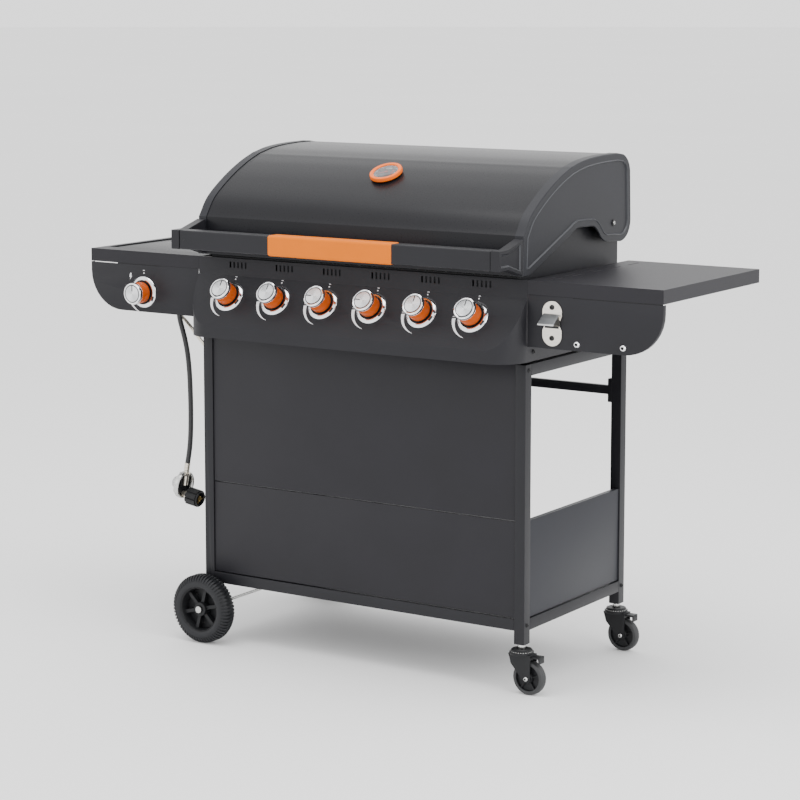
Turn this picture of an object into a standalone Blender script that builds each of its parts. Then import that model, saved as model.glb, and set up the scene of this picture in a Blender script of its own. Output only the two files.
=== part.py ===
"""Six-burner gas barbecue on a wheeled cart, as an assembly of separate named pieces.

Metres, +Z up, the front faces -Y. The origin is the middle of the footprint, on the ground.
Every piece hangs from the empty cart_frame, so places below are measured from the middle of
the cart: X to the right, Y to the back, Z from the ground.
"""
import math

import bmesh
import bpy
from mathutils import Matrix, Vector

# ---- sheet and clearances ----
GAP = 0.0003
RUN = 0.0004
SHEET = 0.0012
TUBE_WALL = 0.0015
PANEL_SEAM = 0.001

# ---- cart ----
CART_HALF_X = 0.427
CART_HALF_Y = 0.2266
POST = 0.025
FRAME_TOP = 0.715
RAIL_LIFT = 0.0294
POST_BELOW_AXLE = 0.018
CROSSBAR_DROP = 0.125
CROSSBAR_TALL = 0.020
CROSSBAR_DEEP = 0.012
CROSSBAR_PLATE_TALL = 0.054
CROSSBAR_PLATE_WIDE = 0.020
CROSSBAR_PLATE_THICK = 0.010
PANEL_RECESS = 0.0026
PANEL_DEPTH = 0.012
PANEL_SPLIT_Z = 0.3765
SIDE_PANEL_TOP = 0.377

# ---- transport wheels ----
WHEEL_R = 0.080
WHEEL_WIDTH = 0.045
WHEEL_HUB_R = 0.016
WHEEL_RIM_R = 0.050
WHEEL_SIDE_PLAY = 0.003
AXLE_R = 0.004
AXLE_HEAD_R = 0.008
AXLE_HEAD_LONG = 0.005
HUB_RECESS = 0.006
SPOKES = 6
SPOKE_WIDE = 0.009

# ---- casters ----
CASTER_R = 0.0375
CASTER_WIDTH = 0.022
CASTER_TRAIL = 0.020
FORK_HALF_Y = 0.0155
FORK_CLEAR = 0.0135
FORK_HEAD_TALL = 0.0095
FORK_HEAD_R = 0.026
STEM_NUT_TALL = 0.0106
STEM_R = 0.005
CASTER_AXLE_R = 0.004

# ---- control panel ----
PANEL_SIDE_COVER = 0.0054
PANEL_STRIP_PROUD = 0.006
PANEL_SLANT_RUN = 0.0674
PANEL_SLANT_RISE = 0.107
PANEL_CORNER_R = 0.066
PANEL_LIFT = 0.007
PANEL_LIP_TALL = 0.028
PANEL_STRIP_TALL = 0.0396
PANEL_BACK_SHORT = 0.0039
KNOB_PITCH = 0.1286
KNOB_OFFSET_X = -0.004
KNOBS = 6
KNOB_R = 0.0252
KNOB_TALL = 0.045
KNOB_RISE = 0.063
KNOB_HOLE_R = 0.0105
VENT_PITCH = 0.0107
VENT_WIDE = 0.0045
VENT_RISE = 0.018
VENT_TALL = 0.014
VENTS_PER_KNOB = 5

# ---- fire bowl ----
BOWL_SIDE_LAP = 0.001
BOWL_FRONT_INSET = 0.0046
BOWL_BACK_INSET = 0.0066
BOWL_LIFT = 0.020
BOWL_TALL = 0.165
BOWL_BACK_TALL = 0.280
BURNER_R = 0.0125
BURNER_RISE = 0.062
MANIFOLD_BEHIND = 0.0134
MANIFOLD_DROP = 0.029
MANIFOLD_R = 0.0085
INLET_BEHIND = 0.0426
INLET_OUT = 0.0456
GRATE_RISE = 0.135
RACK_RISE = 0.250
TRAY_INSET = 0.030

# ---- lid ----
LID_SIDE_COVER = 0.001
LID_EDGE_LIFT = 0.004
LID_RIM = 0.022
LID_BACK_EDGE_RISE = 0.062
HINGE_INSET = 0.063
HINGE_RISE = 0.086
HINGE_PIN_R = 0.004
HANDLE_REACH = 0.117
HANDLE_DEPTH = 0.035
HANDLE_RISE = 0.019
HANDLE_TALL = 0.043
GRIP_HALF_X = 0.163
GRIP_WALL = 0.0012
THERMOMETER_BACK = 0.112
THERMOMETER_R = 0.038
THERMOMETER_STEM_R = 0.0035

# ---- side tables ----
TABLE_SEAM = 0.0004
TABLE_WIDE = 0.3187
APRON_TALL = 0.0296
FASCIA_TALL = 0.111
FASCIA_CORNER_R = 0.090
FASCIA_DEPTH = 0.012
FASCIA_SLIT_START = 0.1112
FASCIA_SLIT = 0.0015
SIDE_KNOB_OUT = 0.1612
SIDE_KNOB_DROP = 0.010
WELL_MARGIN_OUTER = 0.015
WELL_MARGIN_INNER = 0.0172
WELL_MARGIN_Y = 0.0377
WELL_DEEP = 0.0069
COVER_TALL = 0.0036
SIDE_BOWL_HOLE_R = 0.104
OPENER_OUT = 0.0612
OPENER_HALF_WIDE = 0.023
OPENER_LOW_RISE = 0.029
OPENER_HIGH_RISE = 0.078

# ---- gas hose and regulator ----
HOSE_R = 0.006
REGULATOR_FROM_INLET = (-0.0605, 0.020, -0.439)
REGULATOR_LEAN = math.radians(9.0)
REGULATOR_R = 0.033
FERRULE_X = 0.009
FERRULE_TOP = 0.0513
NUT_START_X = 0.025
NUT_LONG = 0.034
NUT_R = 0.0205
NUT_DROP = 0.022

# ---- values worked out from the ones above ----
WHEEL_INNER_Y = CART_HALF_Y + WHEEL_SIDE_PLAY
WHEEL_OUTER_Y = WHEEL_INNER_Y + WHEEL_WIDTH
FORK_CROWN_Z = 2 * CASTER_R + FORK_CLEAR
FORK_HEAD_Z = FORK_CROWN_Z + FORK_HEAD_TALL
POST_BOTTOM_RIGHT = FORK_HEAD_Z + STEM_NUT_TALL
POST_BOTTOM_LEFT = WHEEL_R - POST_BELOW_AXLE
BOTTOM_RAIL_Z = POST_BOTTOM_RIGHT + RAIL_LIFT
CROSSBAR_Z = FRAME_TOP - CROSSBAR_DROP
BOWL_FRONT_Y = -CART_HALF_Y + BOWL_FRONT_INSET
BOWL_BACK_Y = CART_HALF_Y - BOWL_BACK_INSET
HANDLE_FRONT_Y = BOWL_FRONT_Y - HANDLE_REACH
GRIP_FRONT_Y = HANDLE_FRONT_Y - GAP - GRIP_WALL
CART_SHIFT_Y = (-GRIP_FRONT_Y - WHEEL_OUTER_Y) / 2
POST_MID_X = CART_HALF_X - POST / 2
POST_MID_Y = CART_HALF_Y - POST / 2
BAY_HALF_X = CART_HALF_X - POST
BAY_HALF_Y = CART_HALF_Y - POST
PANEL_HALF_X = CART_HALF_X + PANEL_SIDE_COVER
PANEL_STRIP_Y = -CART_HALF_Y - PANEL_STRIP_PROUD
PANEL_FRONT_Y = PANEL_STRIP_Y - PANEL_SLANT_RUN
PANEL_BOTTOM_Z = FRAME_TOP + PANEL_LIFT
PANEL_LIP_Z = PANEL_BOTTOM_Z + PANEL_LIP_TALL
PANEL_STRIP_Z = PANEL_LIP_Z + PANEL_SLANT_RISE
TABLE_TOP_Z = PANEL_STRIP_Z + PANEL_STRIP_TALL
TABLE_BACK_Y = CART_HALF_Y - PANEL_BACK_SHORT
SLANT_LONG = math.hypot(PANEL_SLANT_RUN, PANEL_SLANT_RISE)
SLANT_OUT = Vector((0, -PANEL_SLANT_RISE, PANEL_SLANT_RUN)) / SLANT_LONG
SLANT_TURN = math.atan2(PANEL_SLANT_RISE, PANEL_SLANT_RUN)
KNOB_Z = PANEL_LIP_Z + KNOB_RISE
KNOB_Y = PANEL_FRONT_Y + KNOB_RISE * PANEL_SLANT_RUN / PANEL_SLANT_RISE
VENT_LOW_Z = PANEL_STRIP_Z + VENT_RISE
VENT_XS = [KNOB_PITCH * (i - (KNOBS - 1) / 2) for i in range(KNOBS)]
KNOB_XS = [x + KNOB_OFFSET_X for x in VENT_XS]
BOWL_HALF_X = BAY_HALF_X + BOWL_SIDE_LAP
BOWL_BOTTOM_Z = FRAME_TOP + BOWL_LIFT
BOWL_TOP_Z = BOWL_BOTTOM_Z + BOWL_TALL
BOWL_REAR_TOP_Z = BOWL_BOTTOM_Z + BOWL_BACK_TALL
BURNER_Z = BOWL_BOTTOM_Z + BURNER_RISE
GRATE_Z = BOWL_BOTTOM_Z + GRATE_RISE
RACK_Z = BOWL_BOTTOM_Z + RACK_RISE
TRAY_HALF_X = BOWL_HALF_X - TRAY_INSET
MANIFOLD_Y = PANEL_STRIP_Y - MANIFOLD_BEHIND
MANIFOLD_Z = KNOB_Z - MANIFOLD_DROP
INLET_Y = PANEL_STRIP_Y + INLET_BEHIND
INLET_END_X = -PANEL_HALF_X - INLET_OUT
LID_HALF_X = CART_HALF_X + LID_SIDE_COVER
LID_SHELL_HALF_X = LID_HALF_X - SHEET - GAP
LID_EDGE_Z = BOWL_TOP_Z + LID_EDGE_LIFT
HINGE_Y = BOWL_BACK_Y - HINGE_INSET
HINGE_Z = BOWL_TOP_Z + HINGE_RISE
LID_BACK_EDGE_Z = HINGE_Z + LID_BACK_EDGE_RISE
HANDLE_LOW_Z = LID_EDGE_Z + HANDLE_RISE
THERMOMETER_Y = BOWL_FRONT_Y + THERMOMETER_BACK
TABLE_INNER_X = PANEL_HALF_X + TABLE_SEAM
TABLE_OUTER_X = TABLE_INNER_X + TABLE_WIDE
APRON_Z = TABLE_TOP_Z - APRON_TALL
FASCIA_Z = APRON_Z - FASCIA_TALL
FASCIA_SLIT_X = TABLE_INNER_X + FASCIA_SLIT_START
SIDE_KNOB_X = -TABLE_INNER_X - SIDE_KNOB_OUT
SIDE_KNOB_Z = KNOB_Z - SIDE_KNOB_DROP
WELL_OUTER_X = TABLE_OUTER_X - WELL_MARGIN_OUTER
WELL_INNER_X = TABLE_INNER_X + WELL_MARGIN_INNER
WELL_HALF_Y = TABLE_BACK_Y - WELL_MARGIN_Y
WELL_FLOOR_Z = TABLE_TOP_Z - WELL_DEEP
COVER_LOW_Z = WELL_FLOOR_Z + GAP
INLET_END = Vector((INLET_END_X, INLET_Y, MANIFOLD_Z))
REGULATOR = INLET_END + Vector(REGULATOR_FROM_INLET)

# turns that lay a flat outline in a plane, or a turned piece along an axis
IN_XZ = (math.pi / 2, 0, 0)
IN_YZ = (math.pi / 2, 0, math.pi / 2)
ALONG_FRONT = (math.pi / 2, 0, 0)
ALONG_BACK = (-math.pi / 2, 0, 0)
ALONG_RIGHT = (0, math.pi / 2, 0)
ALONG_LEFT = (0, -math.pi / 2, 0)


# ------------------------------------------------------------------ scene and materials
def clear_scene():
    for item in list(bpy.data.objects):
        bpy.data.objects.remove(item, do_unlink=True)


def new_collection(name):
    group = bpy.data.collections.new(name)
    bpy.context.scene.collection.children.link(group)
    return group


def new_finish(name, colour, roughness, metallic):
    finish = bpy.data.materials.new(name)
    finish.use_nodes = True
    shader = finish.node_tree.nodes["Principled BSDF"]
    shader.inputs["Base Color"].default_value = (*colour, 1)
    shader.inputs["Roughness"].default_value = roughness
    shader.inputs["Metallic"].default_value = metallic
    return finish


clear_scene()
PARTS = new_collection("gas_barbecue")
CUTTERS = new_collection("cutters")
CART_FRAME = bpy.data.objects.new("cart_frame", None)
CART_FRAME.location = (0, CART_SHIFT_Y, 0)
PARTS.objects.link(CART_FRAME)

BLACK = new_finish("black_powder_coat", (0.052, 0.050, 0.056), 0.45, 0.2)
GREY = new_finish("grey_powder_coat", (0.107, 0.109, 0.120), 0.45, 0.2)
LID_BLACK = new_finish("lid_enamel", (0.060, 0.060, 0.064), 0.30, 0.1)
STEEL = new_finish("zinc_steel", (0.62, 0.62, 0.60), 0.30, 1.0)
CHROME = new_finish("chrome", (0.80, 0.80, 0.82), 0.12, 1.0)
IRON = new_finish("cast_iron", (0.030, 0.030, 0.030), 0.70, 0.6)
PLASTIC = new_finish("black_plastic", (0.022, 0.022, 0.024), 0.50, 0.0)
RUBBER = new_finish("black_rubber", (0.018, 0.018, 0.020), 0.60, 0.0)
ORANGE = new_finish("orange_plastic", (0.75, 0.28, 0.07), 0.45, 0.0)


# ------------------------------------------------------------------ shaping helpers
def place(mesh, name, finish, at, turn=(0, 0, 0), parent=None, group=None):
    """Puts a mesh in the model under the cart frame, or under another parent."""
    item = bpy.data.objects.new(name, mesh)
    item.location = at
    item.rotation_euler = turn
    item.parent = parent or CART_FRAME
    if finish:
        mesh.materials.append(finish)
    (group or PARTS).objects.link(item)
    return item


def as_cutter(item):
    item.hide_render = True
    item.display_type = "WIRE"
    return item


def mesh_from(form, name):
    mesh = bpy.data.meshes.new(name)
    form.to_mesh(mesh)
    form.free()
    return mesh


def add_box(form, low, high):
    """Adds one box between two corners to a bmesh and returns its vertices."""
    low = Vector(low)
    high = Vector(high)
    made = bmesh.ops.create_cube(form, size=1.0)["verts"]
    bmesh.ops.scale(form, vec=high - low, verts=made)
    bmesh.ops.translate(form, vec=(low + high) / 2, verts=made)
    return made


def box_form(low, high, open_along):
    """A box about its own middle, without the faces that look along the open directions."""
    form = bmesh.new()
    size = Vector(high) - Vector(low)
    add_box(form, -size / 2, size / 2)
    openings = [face for face in form.faces if any(face.normal.dot(Vector(way)) > 0.9 for way in open_along)]
    bmesh.ops.delete(form, geom=openings, context="FACES_ONLY")
    return form


def middle(low, high):
    return (Vector(low) + Vector(high)) / 2


def thicken(item, wall):
    step = item.modifiers.new("wall", "SOLIDIFY")
    step.thickness = wall
    step.offset = -1
    step.use_even_offset = True
    return item


def block(name, low, high, finish):
    return place(mesh_from(box_form(low, high, []), name), name, finish, middle(low, high))


def pan(name, low, high, open_side, finish, wall=SHEET):
    """A sheet-metal pan: a box with one open side and an even wall."""
    mesh = mesh_from(box_form(low, high, [open_side]), name)
    return thicken(place(mesh, name, finish, middle(low, high)), wall)


def square_tube(name, low, high, axis, finish, wall=TUBE_WALL):
    """A rectangular tube, open at both ends of the given axis."""
    ends = [Vector(axis), -Vector(axis)]
    mesh = mesh_from(box_form(low, high, ends), name)
    return thicken(place(mesh, name, finish, middle(low, high)), wall)


def boxes(name, corners):
    """Several boxes that stand apart, as one cutter or one shape to join."""
    form = bmesh.new()
    for low, high in corners:
        add_box(form, low, high)
    return as_cutter(place(mesh_from(form, name), name, None, (0, 0, 0), group=CUTTERS))


def arc(centre, radius, start, end, steps):
    """Points on an arc, with angles in degrees."""
    turns = [math.radians(start + (end - start) * i / steps) for i in range(steps + 1)]
    return [(centre[0] + radius * math.cos(t), centre[1] + radius * math.sin(t)) for t in turns]


def flat(name, outline, thickness, turn, at, finish, group=None):
    """A flat outline with an even thickness, centred on its own plane."""
    drawing = bpy.data.curves.new(name, "CURVE")
    drawing.dimensions = "2D"
    drawing.fill_mode = "BOTH"
    drawing.extrude = thickness / 2
    line = drawing.splines.new("POLY")
    line.points.add(len(outline) - 1)
    for point, (x, y) in zip(line.points, outline):
        point.co = (x, y, 0, 1)
    line.use_cyclic_u = True
    guide = bpy.data.objects.new(name + "_outline", drawing)
    return solid_from_curve(guide, name, turn, at, finish, group)


def solid_from_curve(guide, name, turn, at, finish, group=None):
    """Turns a curve object into a welded mesh object and removes the curve."""
    bpy.context.scene.collection.objects.link(guide)
    bpy.context.view_layer.update()
    ready = guide.evaluated_get(bpy.context.evaluated_depsgraph_get())
    mesh = bpy.data.meshes.new_from_object(ready)
    bpy.data.objects.remove(guide, do_unlink=True)
    form = bmesh.new()
    form.from_mesh(mesh)
    bmesh.ops.remove_doubles(form, verts=form.verts, dist=0.00001)
    bmesh.ops.recalc_face_normals(form, faces=form.faces)
    form.to_mesh(mesh)
    form.free()
    mesh.name = name
    mesh.materials.clear()
    return place(mesh, name, finish, at, turn, group=group)


def pipe(name, points, radius, finish, detail=2, group=None):
    """A round tube along a line of points, with filled ends."""
    drawing = bpy.data.curves.new(name, "CURVE")
    drawing.dimensions = "3D"
    drawing.bevel_depth = radius
    drawing.bevel_resolution = detail
    drawing.use_fill_caps = True
    line = drawing.splines.new("POLY")
    line.points.add(len(points) - 1)
    for point, place_on in zip(line.points, points):
        point.co = (*place_on, 1)
    guide = bpy.data.objects.new(name + "_line", drawing)
    return solid_from_curve(guide, name, (0, 0, 0), (0, 0, 0), finish, group)


def smooth_line(route, step):
    """Points about one step apart on a smooth curve through the points of a route."""
    route = [Vector(p) for p in route]
    ends = [2 * route[0] - route[1]] + route + [2 * route[-1] - route[-2]]
    line = [route[0]]
    for before, here, after, beyond in zip(ends, ends[1:], ends[2:], ends[3:]):
        pieces = max(1, round((after - here).length / step))
        for i in range(1, pieces + 1):
            t = i / pieces
            lift = 2 * here + (after - before) * t
            lift += (2 * before - 5 * here + 4 * after - beyond) * t ** 2
            lift += (3 * here - before - 3 * after + beyond) * t ** 3
            line.append(lift / 2)
    return line


def rod(name, start, end, radius, finish, sides=16, group=None):
    """A plain cylinder between two points."""
    start = Vector(start)
    end = Vector(end)
    form = bmesh.new()
    long = (end - start).length
    bmesh.ops.create_cone(form, cap_ends=True, segments=sides, radius1=radius, radius2=radius, depth=long)
    item = place(mesh_from(form, name), name, finish, (start + end) / 2, group=group)
    item.rotation_euler = (end - start).to_track_quat("Z", "Y").to_euler()
    return item


def turned(name, profile, at, turn, finish, steps=24, closed=False, parent=None, group=None):
    """A turned piece: a profile of (radius, height) points, spun about its own Z axis."""
    form = bmesh.new()
    points = [form.verts.new((r, 0, z)) for r, z in profile]
    pairs = list(zip(points, points[1:]))
    if closed:
        pairs.append((points[-1], points[0]))
    for start, end in pairs:
        form.edges.new((start, end))
    item = place(mesh_from(form, name), name, finish, at, turn, parent, group)
    spin = item.modifiers.new("turning", "SCREW")
    spin.steps = steps
    spin.render_steps = steps
    spin.use_merge_vertices = True
    spin.merge_threshold = 0.00001
    spin.use_smooth_shade = True
    return item


def combine(item, other, operation):
    step = item.modifiers.new(operation.lower(), "BOOLEAN")
    step.operation = operation
    step.object = as_cutter(other)
    return item


def cut(item, cutter):
    return combine(item, cutter, "DIFFERENCE")


def join(item, other):
    return combine(item, other, "UNION")


def drill(item, start, end, radius, sides=16):
    """Cuts a round hole from one point to another."""
    return cut(item, rod(item.name + "_drill", start, end, radius, None, sides, CUTTERS))


def sided(side, near, far):
    """Low and high X of a span on the left (-1) or right (+1) side."""
    ends = (side * near, side * far)
    return min(ends), max(ends)


# ------------------------------------------------------------------ cart frame
def build_posts():
    for side_name, side in (("left", -1), ("right", 1)):
        bottom = POST_BOTTOM_LEFT if side < 0 else POST_BOTTOM_RIGHT
        x_low, x_high = sided(side, BAY_HALF_X, CART_HALF_X)
        for end_name, end in (("front", -1), ("rear", 1)):
            y_low, y_high = sided(end, BAY_HALF_Y, CART_HALF_Y)
            name = f"post_{end_name}_{side_name}"
            post = square_tube(name, (x_low, y_low, bottom), (x_high, y_high, FRAME_TOP), (0, 0, 1), BLACK)
            if side < 0:
                start = (-POST_MID_X, y_low - POST, WHEEL_R)
                finish_at = (-POST_MID_X, y_high + POST, WHEEL_R)
                drill(post, start, finish_at, AXLE_R + RUN)


def build_rails():
    inner_x = BAY_HALF_X - GAP
    inner_y = BAY_HALF_Y - GAP
    low_z = BOTTOM_RAIL_Z
    top_z = BOTTOM_RAIL_Z + POST
    for end_name, end in (("front", -1), ("rear", 1)):
        y_low, y_high = sided(end, BAY_HALF_Y, CART_HALF_Y)
        name = f"bottom_rail_{end_name}"
        square_tube(name, (-inner_x, y_low, low_z), (inner_x, y_high, top_z), (1, 0, 0), BLACK)
    for side_name, side in (("left", -1), ("right", 1)):
        x_low, x_high = sided(side, BAY_HALF_X, CART_HALF_X)
        for level, low, high in (("bottom", low_z, top_z), ("top", FRAME_TOP - POST, FRAME_TOP)):
            name = f"{level}_rail_{side_name}"
            square_tube(name, (x_low, -inner_y, low), (x_high, inner_y, high), (0, 1, 0), BLACK)


def build_crossbar():
    half_x = BAY_HALF_X - GAP
    near_y = POST_MID_Y - CROSSBAR_DEEP / 2
    far_y = POST_MID_Y + CROSSBAR_DEEP / 2
    inset = CROSSBAR_PLATE_THICK / 2
    low = (-half_x + inset, near_y, CROSSBAR_Z)
    high = (half_x - inset, far_y, CROSSBAR_Z + CROSSBAR_TALL)
    bar = block("rear_crossbar", low, high, BLACK)
    middle_z = CROSSBAR_Z + CROSSBAR_TALL / 2
    plate_low_z = middle_z - CROSSBAR_PLATE_TALL / 2
    plate_high_z = middle_z + CROSSBAR_PLATE_TALL / 2
    plates = []
    for side in (-1, 1):
        x_low, x_high = sided(side, half_x - CROSSBAR_PLATE_THICK, half_x)
        plate_low = (x_low, POST_MID_Y - CROSSBAR_PLATE_WIDE / 2, plate_low_z)
        plate_high = (x_high, POST_MID_Y + CROSSBAR_PLATE_WIDE / 2, plate_high_z)
        plates.append((plate_low, plate_high))
    join(bar, boxes("crossbar_plates", plates))


def build_panels():
    half_x = BAY_HALF_X - PANEL_SEAM
    front_y = -CART_HALF_Y + PANEL_RECESS
    back_y = front_y + PANEL_DEPTH
    shelf_z = BOTTOM_RAIL_Z + POST + GAP
    panel_low_z = shelf_z + SHEET + PANEL_SEAM
    shelf_back = CART_HALF_Y - PANEL_RECESS
    block("base_shelf", (-half_x, back_y + GAP, shelf_z), (half_x, shelf_back, shelf_z + SHEET), BLACK)
    spans = (("lower", panel_low_z, PANEL_SPLIT_Z - PANEL_SEAM),
             ("upper", PANEL_SPLIT_Z + PANEL_SEAM, FRAME_TOP))
    for level, low_z, high_z in spans:
        pan(f"front_panel_{level}", (-half_x, front_y, low_z), (half_x, back_y, high_z), (0, 1, 0), BLACK)
    half_y = BAY_HALF_Y - PANEL_SEAM
    for side_name, side in (("left", -1), ("right", 1)):
        outer_x = CART_HALF_X - PANEL_RECESS
        x_low, x_high = sided(side, outer_x - PANEL_DEPTH, outer_x)
        low = (x_low, -half_y, panel_low_z)
        high = (x_high, half_y, SIDE_PANEL_TOP)
        pan(f"side_panel_{side_name}", low, high, (-side, 0, 0), GREY)


# ------------------------------------------------------------------ wheels and casters
def build_transport_wheels():
    half = WHEEL_WIDTH / 2
    hub_top = half - HUB_RECESS
    web_top = -0.004
    web_low = -0.010
    bore = AXLE_R + RUN
    shoulder = 0.006
    profile = [(bore, hub_top), (WHEEL_HUB_R, hub_top), (WHEEL_HUB_R, web_top), (WHEEL_RIM_R, web_top)]
    profile += [(WHEEL_RIM_R + 0.002, half), (WHEEL_R - shoulder, half), (WHEEL_R, half - shoulder)]
    profile += [(WHEEL_R, shoulder - half), (WHEEL_R - shoulder, -half), (WHEEL_RIM_R + 0.002, -half)]
    profile += [(WHEEL_RIM_R, web_low), (WHEEL_HUB_R, web_low), (WHEEL_HUB_R, -half), (bore, -half)]
    mid_y = (WHEEL_INNER_Y + WHEEL_OUTER_Y) / 2
    for name, end, turn in (("front_left", -1, ALONG_FRONT), ("rear_left", 1, ALONG_BACK)):
        at = (-POST_MID_X, end * mid_y, WHEEL_R)
        wheel = turned(f"wheel_{name}", profile, at, turn, PLASTIC, steps=24, closed=True)
        form = bmesh.new()
        for i in range(SPOKES):
            low = (WHEEL_HUB_R - 0.001, -SPOKE_WIDE / 2, web_low + 0.003)
            high = (WHEEL_RIM_R + 0.001, SPOKE_WIDE / 2, hub_top - 0.004)
            made = add_box(form, low, high)
            spoke_turn = Matrix.Rotation(math.tau * i / SPOKES, 3, "Z")
            bmesh.ops.rotate(form, verts=made, cent=(0, 0, 0), matrix=spoke_turn)
        spokes = place(mesh_from(form, f"spokes_{name}"), f"spokes_{name}", None, at, turn, group=CUTTERS)
        join(wheel, spokes)
    head_in = WHEEL_OUTER_Y - HUB_RECESS + GAP
    head_out = head_in + AXLE_HEAD_LONG
    axle = [(0, head_out), (AXLE_HEAD_R, head_out), (AXLE_HEAD_R, head_in), (AXLE_R, head_in)]
    axle += [(r, -y) for r, y in reversed(axle)]
    turned("wheel_axle", axle, (-POST_MID_X, 0, WHEEL_R), ALONG_FRONT, STEEL, steps=12)


def fork_outline():
    """Side view of the caster fork, from the stem axis, with a round end about the wheel's axle."""
    boss = 0.009
    outline = [(-0.025, FORK_CROWN_Z), (-0.018, FORK_CROWN_Z - 0.0225)]
    outline += arc((CASTER_TRAIL, CASTER_R), boss, 215, 360, 6)
    outline += [(CASTER_TRAIL + boss, FORK_CROWN_Z)]
    return outline


def build_casters():
    slot_half = CASTER_WIDTH / 2 + 0.0015
    slot_top = 2 * CASTER_R + 0.0035
    nut_top = POST_BOTTOM_RIGHT - GAP
    nut_low = FORK_HEAD_Z + GAP
    plug_r = POST / 2 - TUBE_WALL - 2 * GAP
    stem_top = POST_BOTTOM_RIGHT + 0.0414
    plug_top = POST_BOTTOM_RIGHT + 0.0274
    plug_low = POST_BOTTOM_RIGHT + 0.0034
    stem = [(0, stem_top), (STEM_R, stem_top), (STEM_R, plug_top), (plug_r, plug_top)]
    stem += [(plug_r, plug_low), (STEM_R, plug_low)]
    stem += [(STEM_R, nut_top), (0.0085, nut_top), (0.0085, nut_low), (STEM_R, nut_low)]
    stem += [(STEM_R, slot_top + 0.002), (0, slot_top + 0.002)]
    race_z = FORK_HEAD_Z - 0.0055
    head = [(0, FORK_HEAD_Z), (0.0225, FORK_HEAD_Z), (0.0225, race_z), (FORK_HEAD_R, race_z)]
    head += [(FORK_HEAD_R, FORK_CROWN_Z - 0.002), (0, FORK_CROWN_Z - 0.002)]
    half = CASTER_WIDTH / 2
    bore = CASTER_AXLE_R + RUN
    wheel = [(bore, half), (0.010, half), (0.010, half - 0.007), (0.027, half - 0.007), (0.029, half)]
    wheel += [(CASTER_R - 0.004, half), (CASTER_R, half - 0.004)]
    wheel += [(r, -z) for r, z in reversed(wheel)]
    for end_name, end in (("front", -1), ("rear", 1)):
        x = POST_MID_X
        y = end * POST_MID_Y
        turned(f"caster_stem_{end_name}", stem, (x, y, 0), (0, 0, 0), STEEL, steps=12)
        fork = flat(f"caster_fork_{end_name}", fork_outline(), 2 * FORK_HALF_Y, IN_XZ, (x, y, 0), PLASTIC)
        slot = ((x - 0.1, y - slot_half, 0), (x + 0.1, y + slot_half, slot_top))
        cut(fork, boxes(f"fork_slot_{end_name}", [slot]))
        join(fork, turned(f"fork_head_{end_name}", head, (x, y, 0), (0, 0, 0), None, steps=16, group=CUTTERS))
        drill(fork, (x, y, slot_top - 0.02), (x, y, FORK_HEAD_Z + 0.02), STEM_R + RUN)
        axle_x = x + CASTER_TRAIL
        axle_ends = [(axle_x, y + way * (FORK_HALF_Y + 0.002), CASTER_R) for way in (-1, 1)]
        join(fork, rod(f"fork_axle_{end_name}", *axle_ends, CASTER_AXLE_R, None, 16, CUTTERS))
        turned(f"caster_wheel_{end_name}", wheel, (axle_x, y, CASTER_R), ALONG_FRONT, RUBBER,
               steps=20, closed=True)
        pivot_x = 0.0300
        pivot_z = FORK_CROWN_Z - 0.004
        pedal = [(-0.0005, -0.002), (0.0170, -0.002), (0.0170, -0.013), (0.0195, -0.013)]
        pedal += [(0.0195, 0.002), (-0.0005, 0.002)]
        at = (x + pivot_x, y, pivot_z)
        flat(f"caster_brake_{end_name}", pedal, 2 * (slot_half - 0.001), IN_XZ, at, PLASTIC)


# ------------------------------------------------------------------ control panel and gas train
def plan_outline(inset, back_y):
    """Plan of the control panel: straight sides, and a front with two round corners."""
    half_x = PANEL_HALF_X - inset
    radius = PANEL_CORNER_R - inset
    centre_x = PANEL_HALF_X - PANEL_CORNER_R
    centre_y = PANEL_FRONT_Y + PANEL_CORNER_R
    outline = [(half_x, back_y)]
    outline += arc((centre_x, centre_y), radius, 0, -90, 10)
    outline += arc((-centre_x, centre_y), radius, -90, -180, 10)
    outline += [(-half_x, back_y)]
    return outline


def slant_wedge(name, inset):
    """The space in front of the slanted face and of the strip above it."""
    slope = PANEL_SLANT_RISE / PANEL_SLANT_RUN
    foot_y = PANEL_FRONT_Y - SLANT_OUT.y * inset
    foot_z = PANEL_LIP_Z - SLANT_OUT.z * inset
    strip_y = PANEL_STRIP_Y + inset
    reach = 0.06
    outline = [(foot_y - reach, foot_z - reach * slope), (strip_y, foot_z + (strip_y - foot_y) * slope)]
    above = TABLE_TOP_Z + 0.1
    outline += [(strip_y, above), (foot_y - reach, above)]
    return as_cutter(flat(name, outline, 2 * PANEL_HALF_X + 0.3, IN_YZ, (0, 0, 0), None, CUTTERS))


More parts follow.
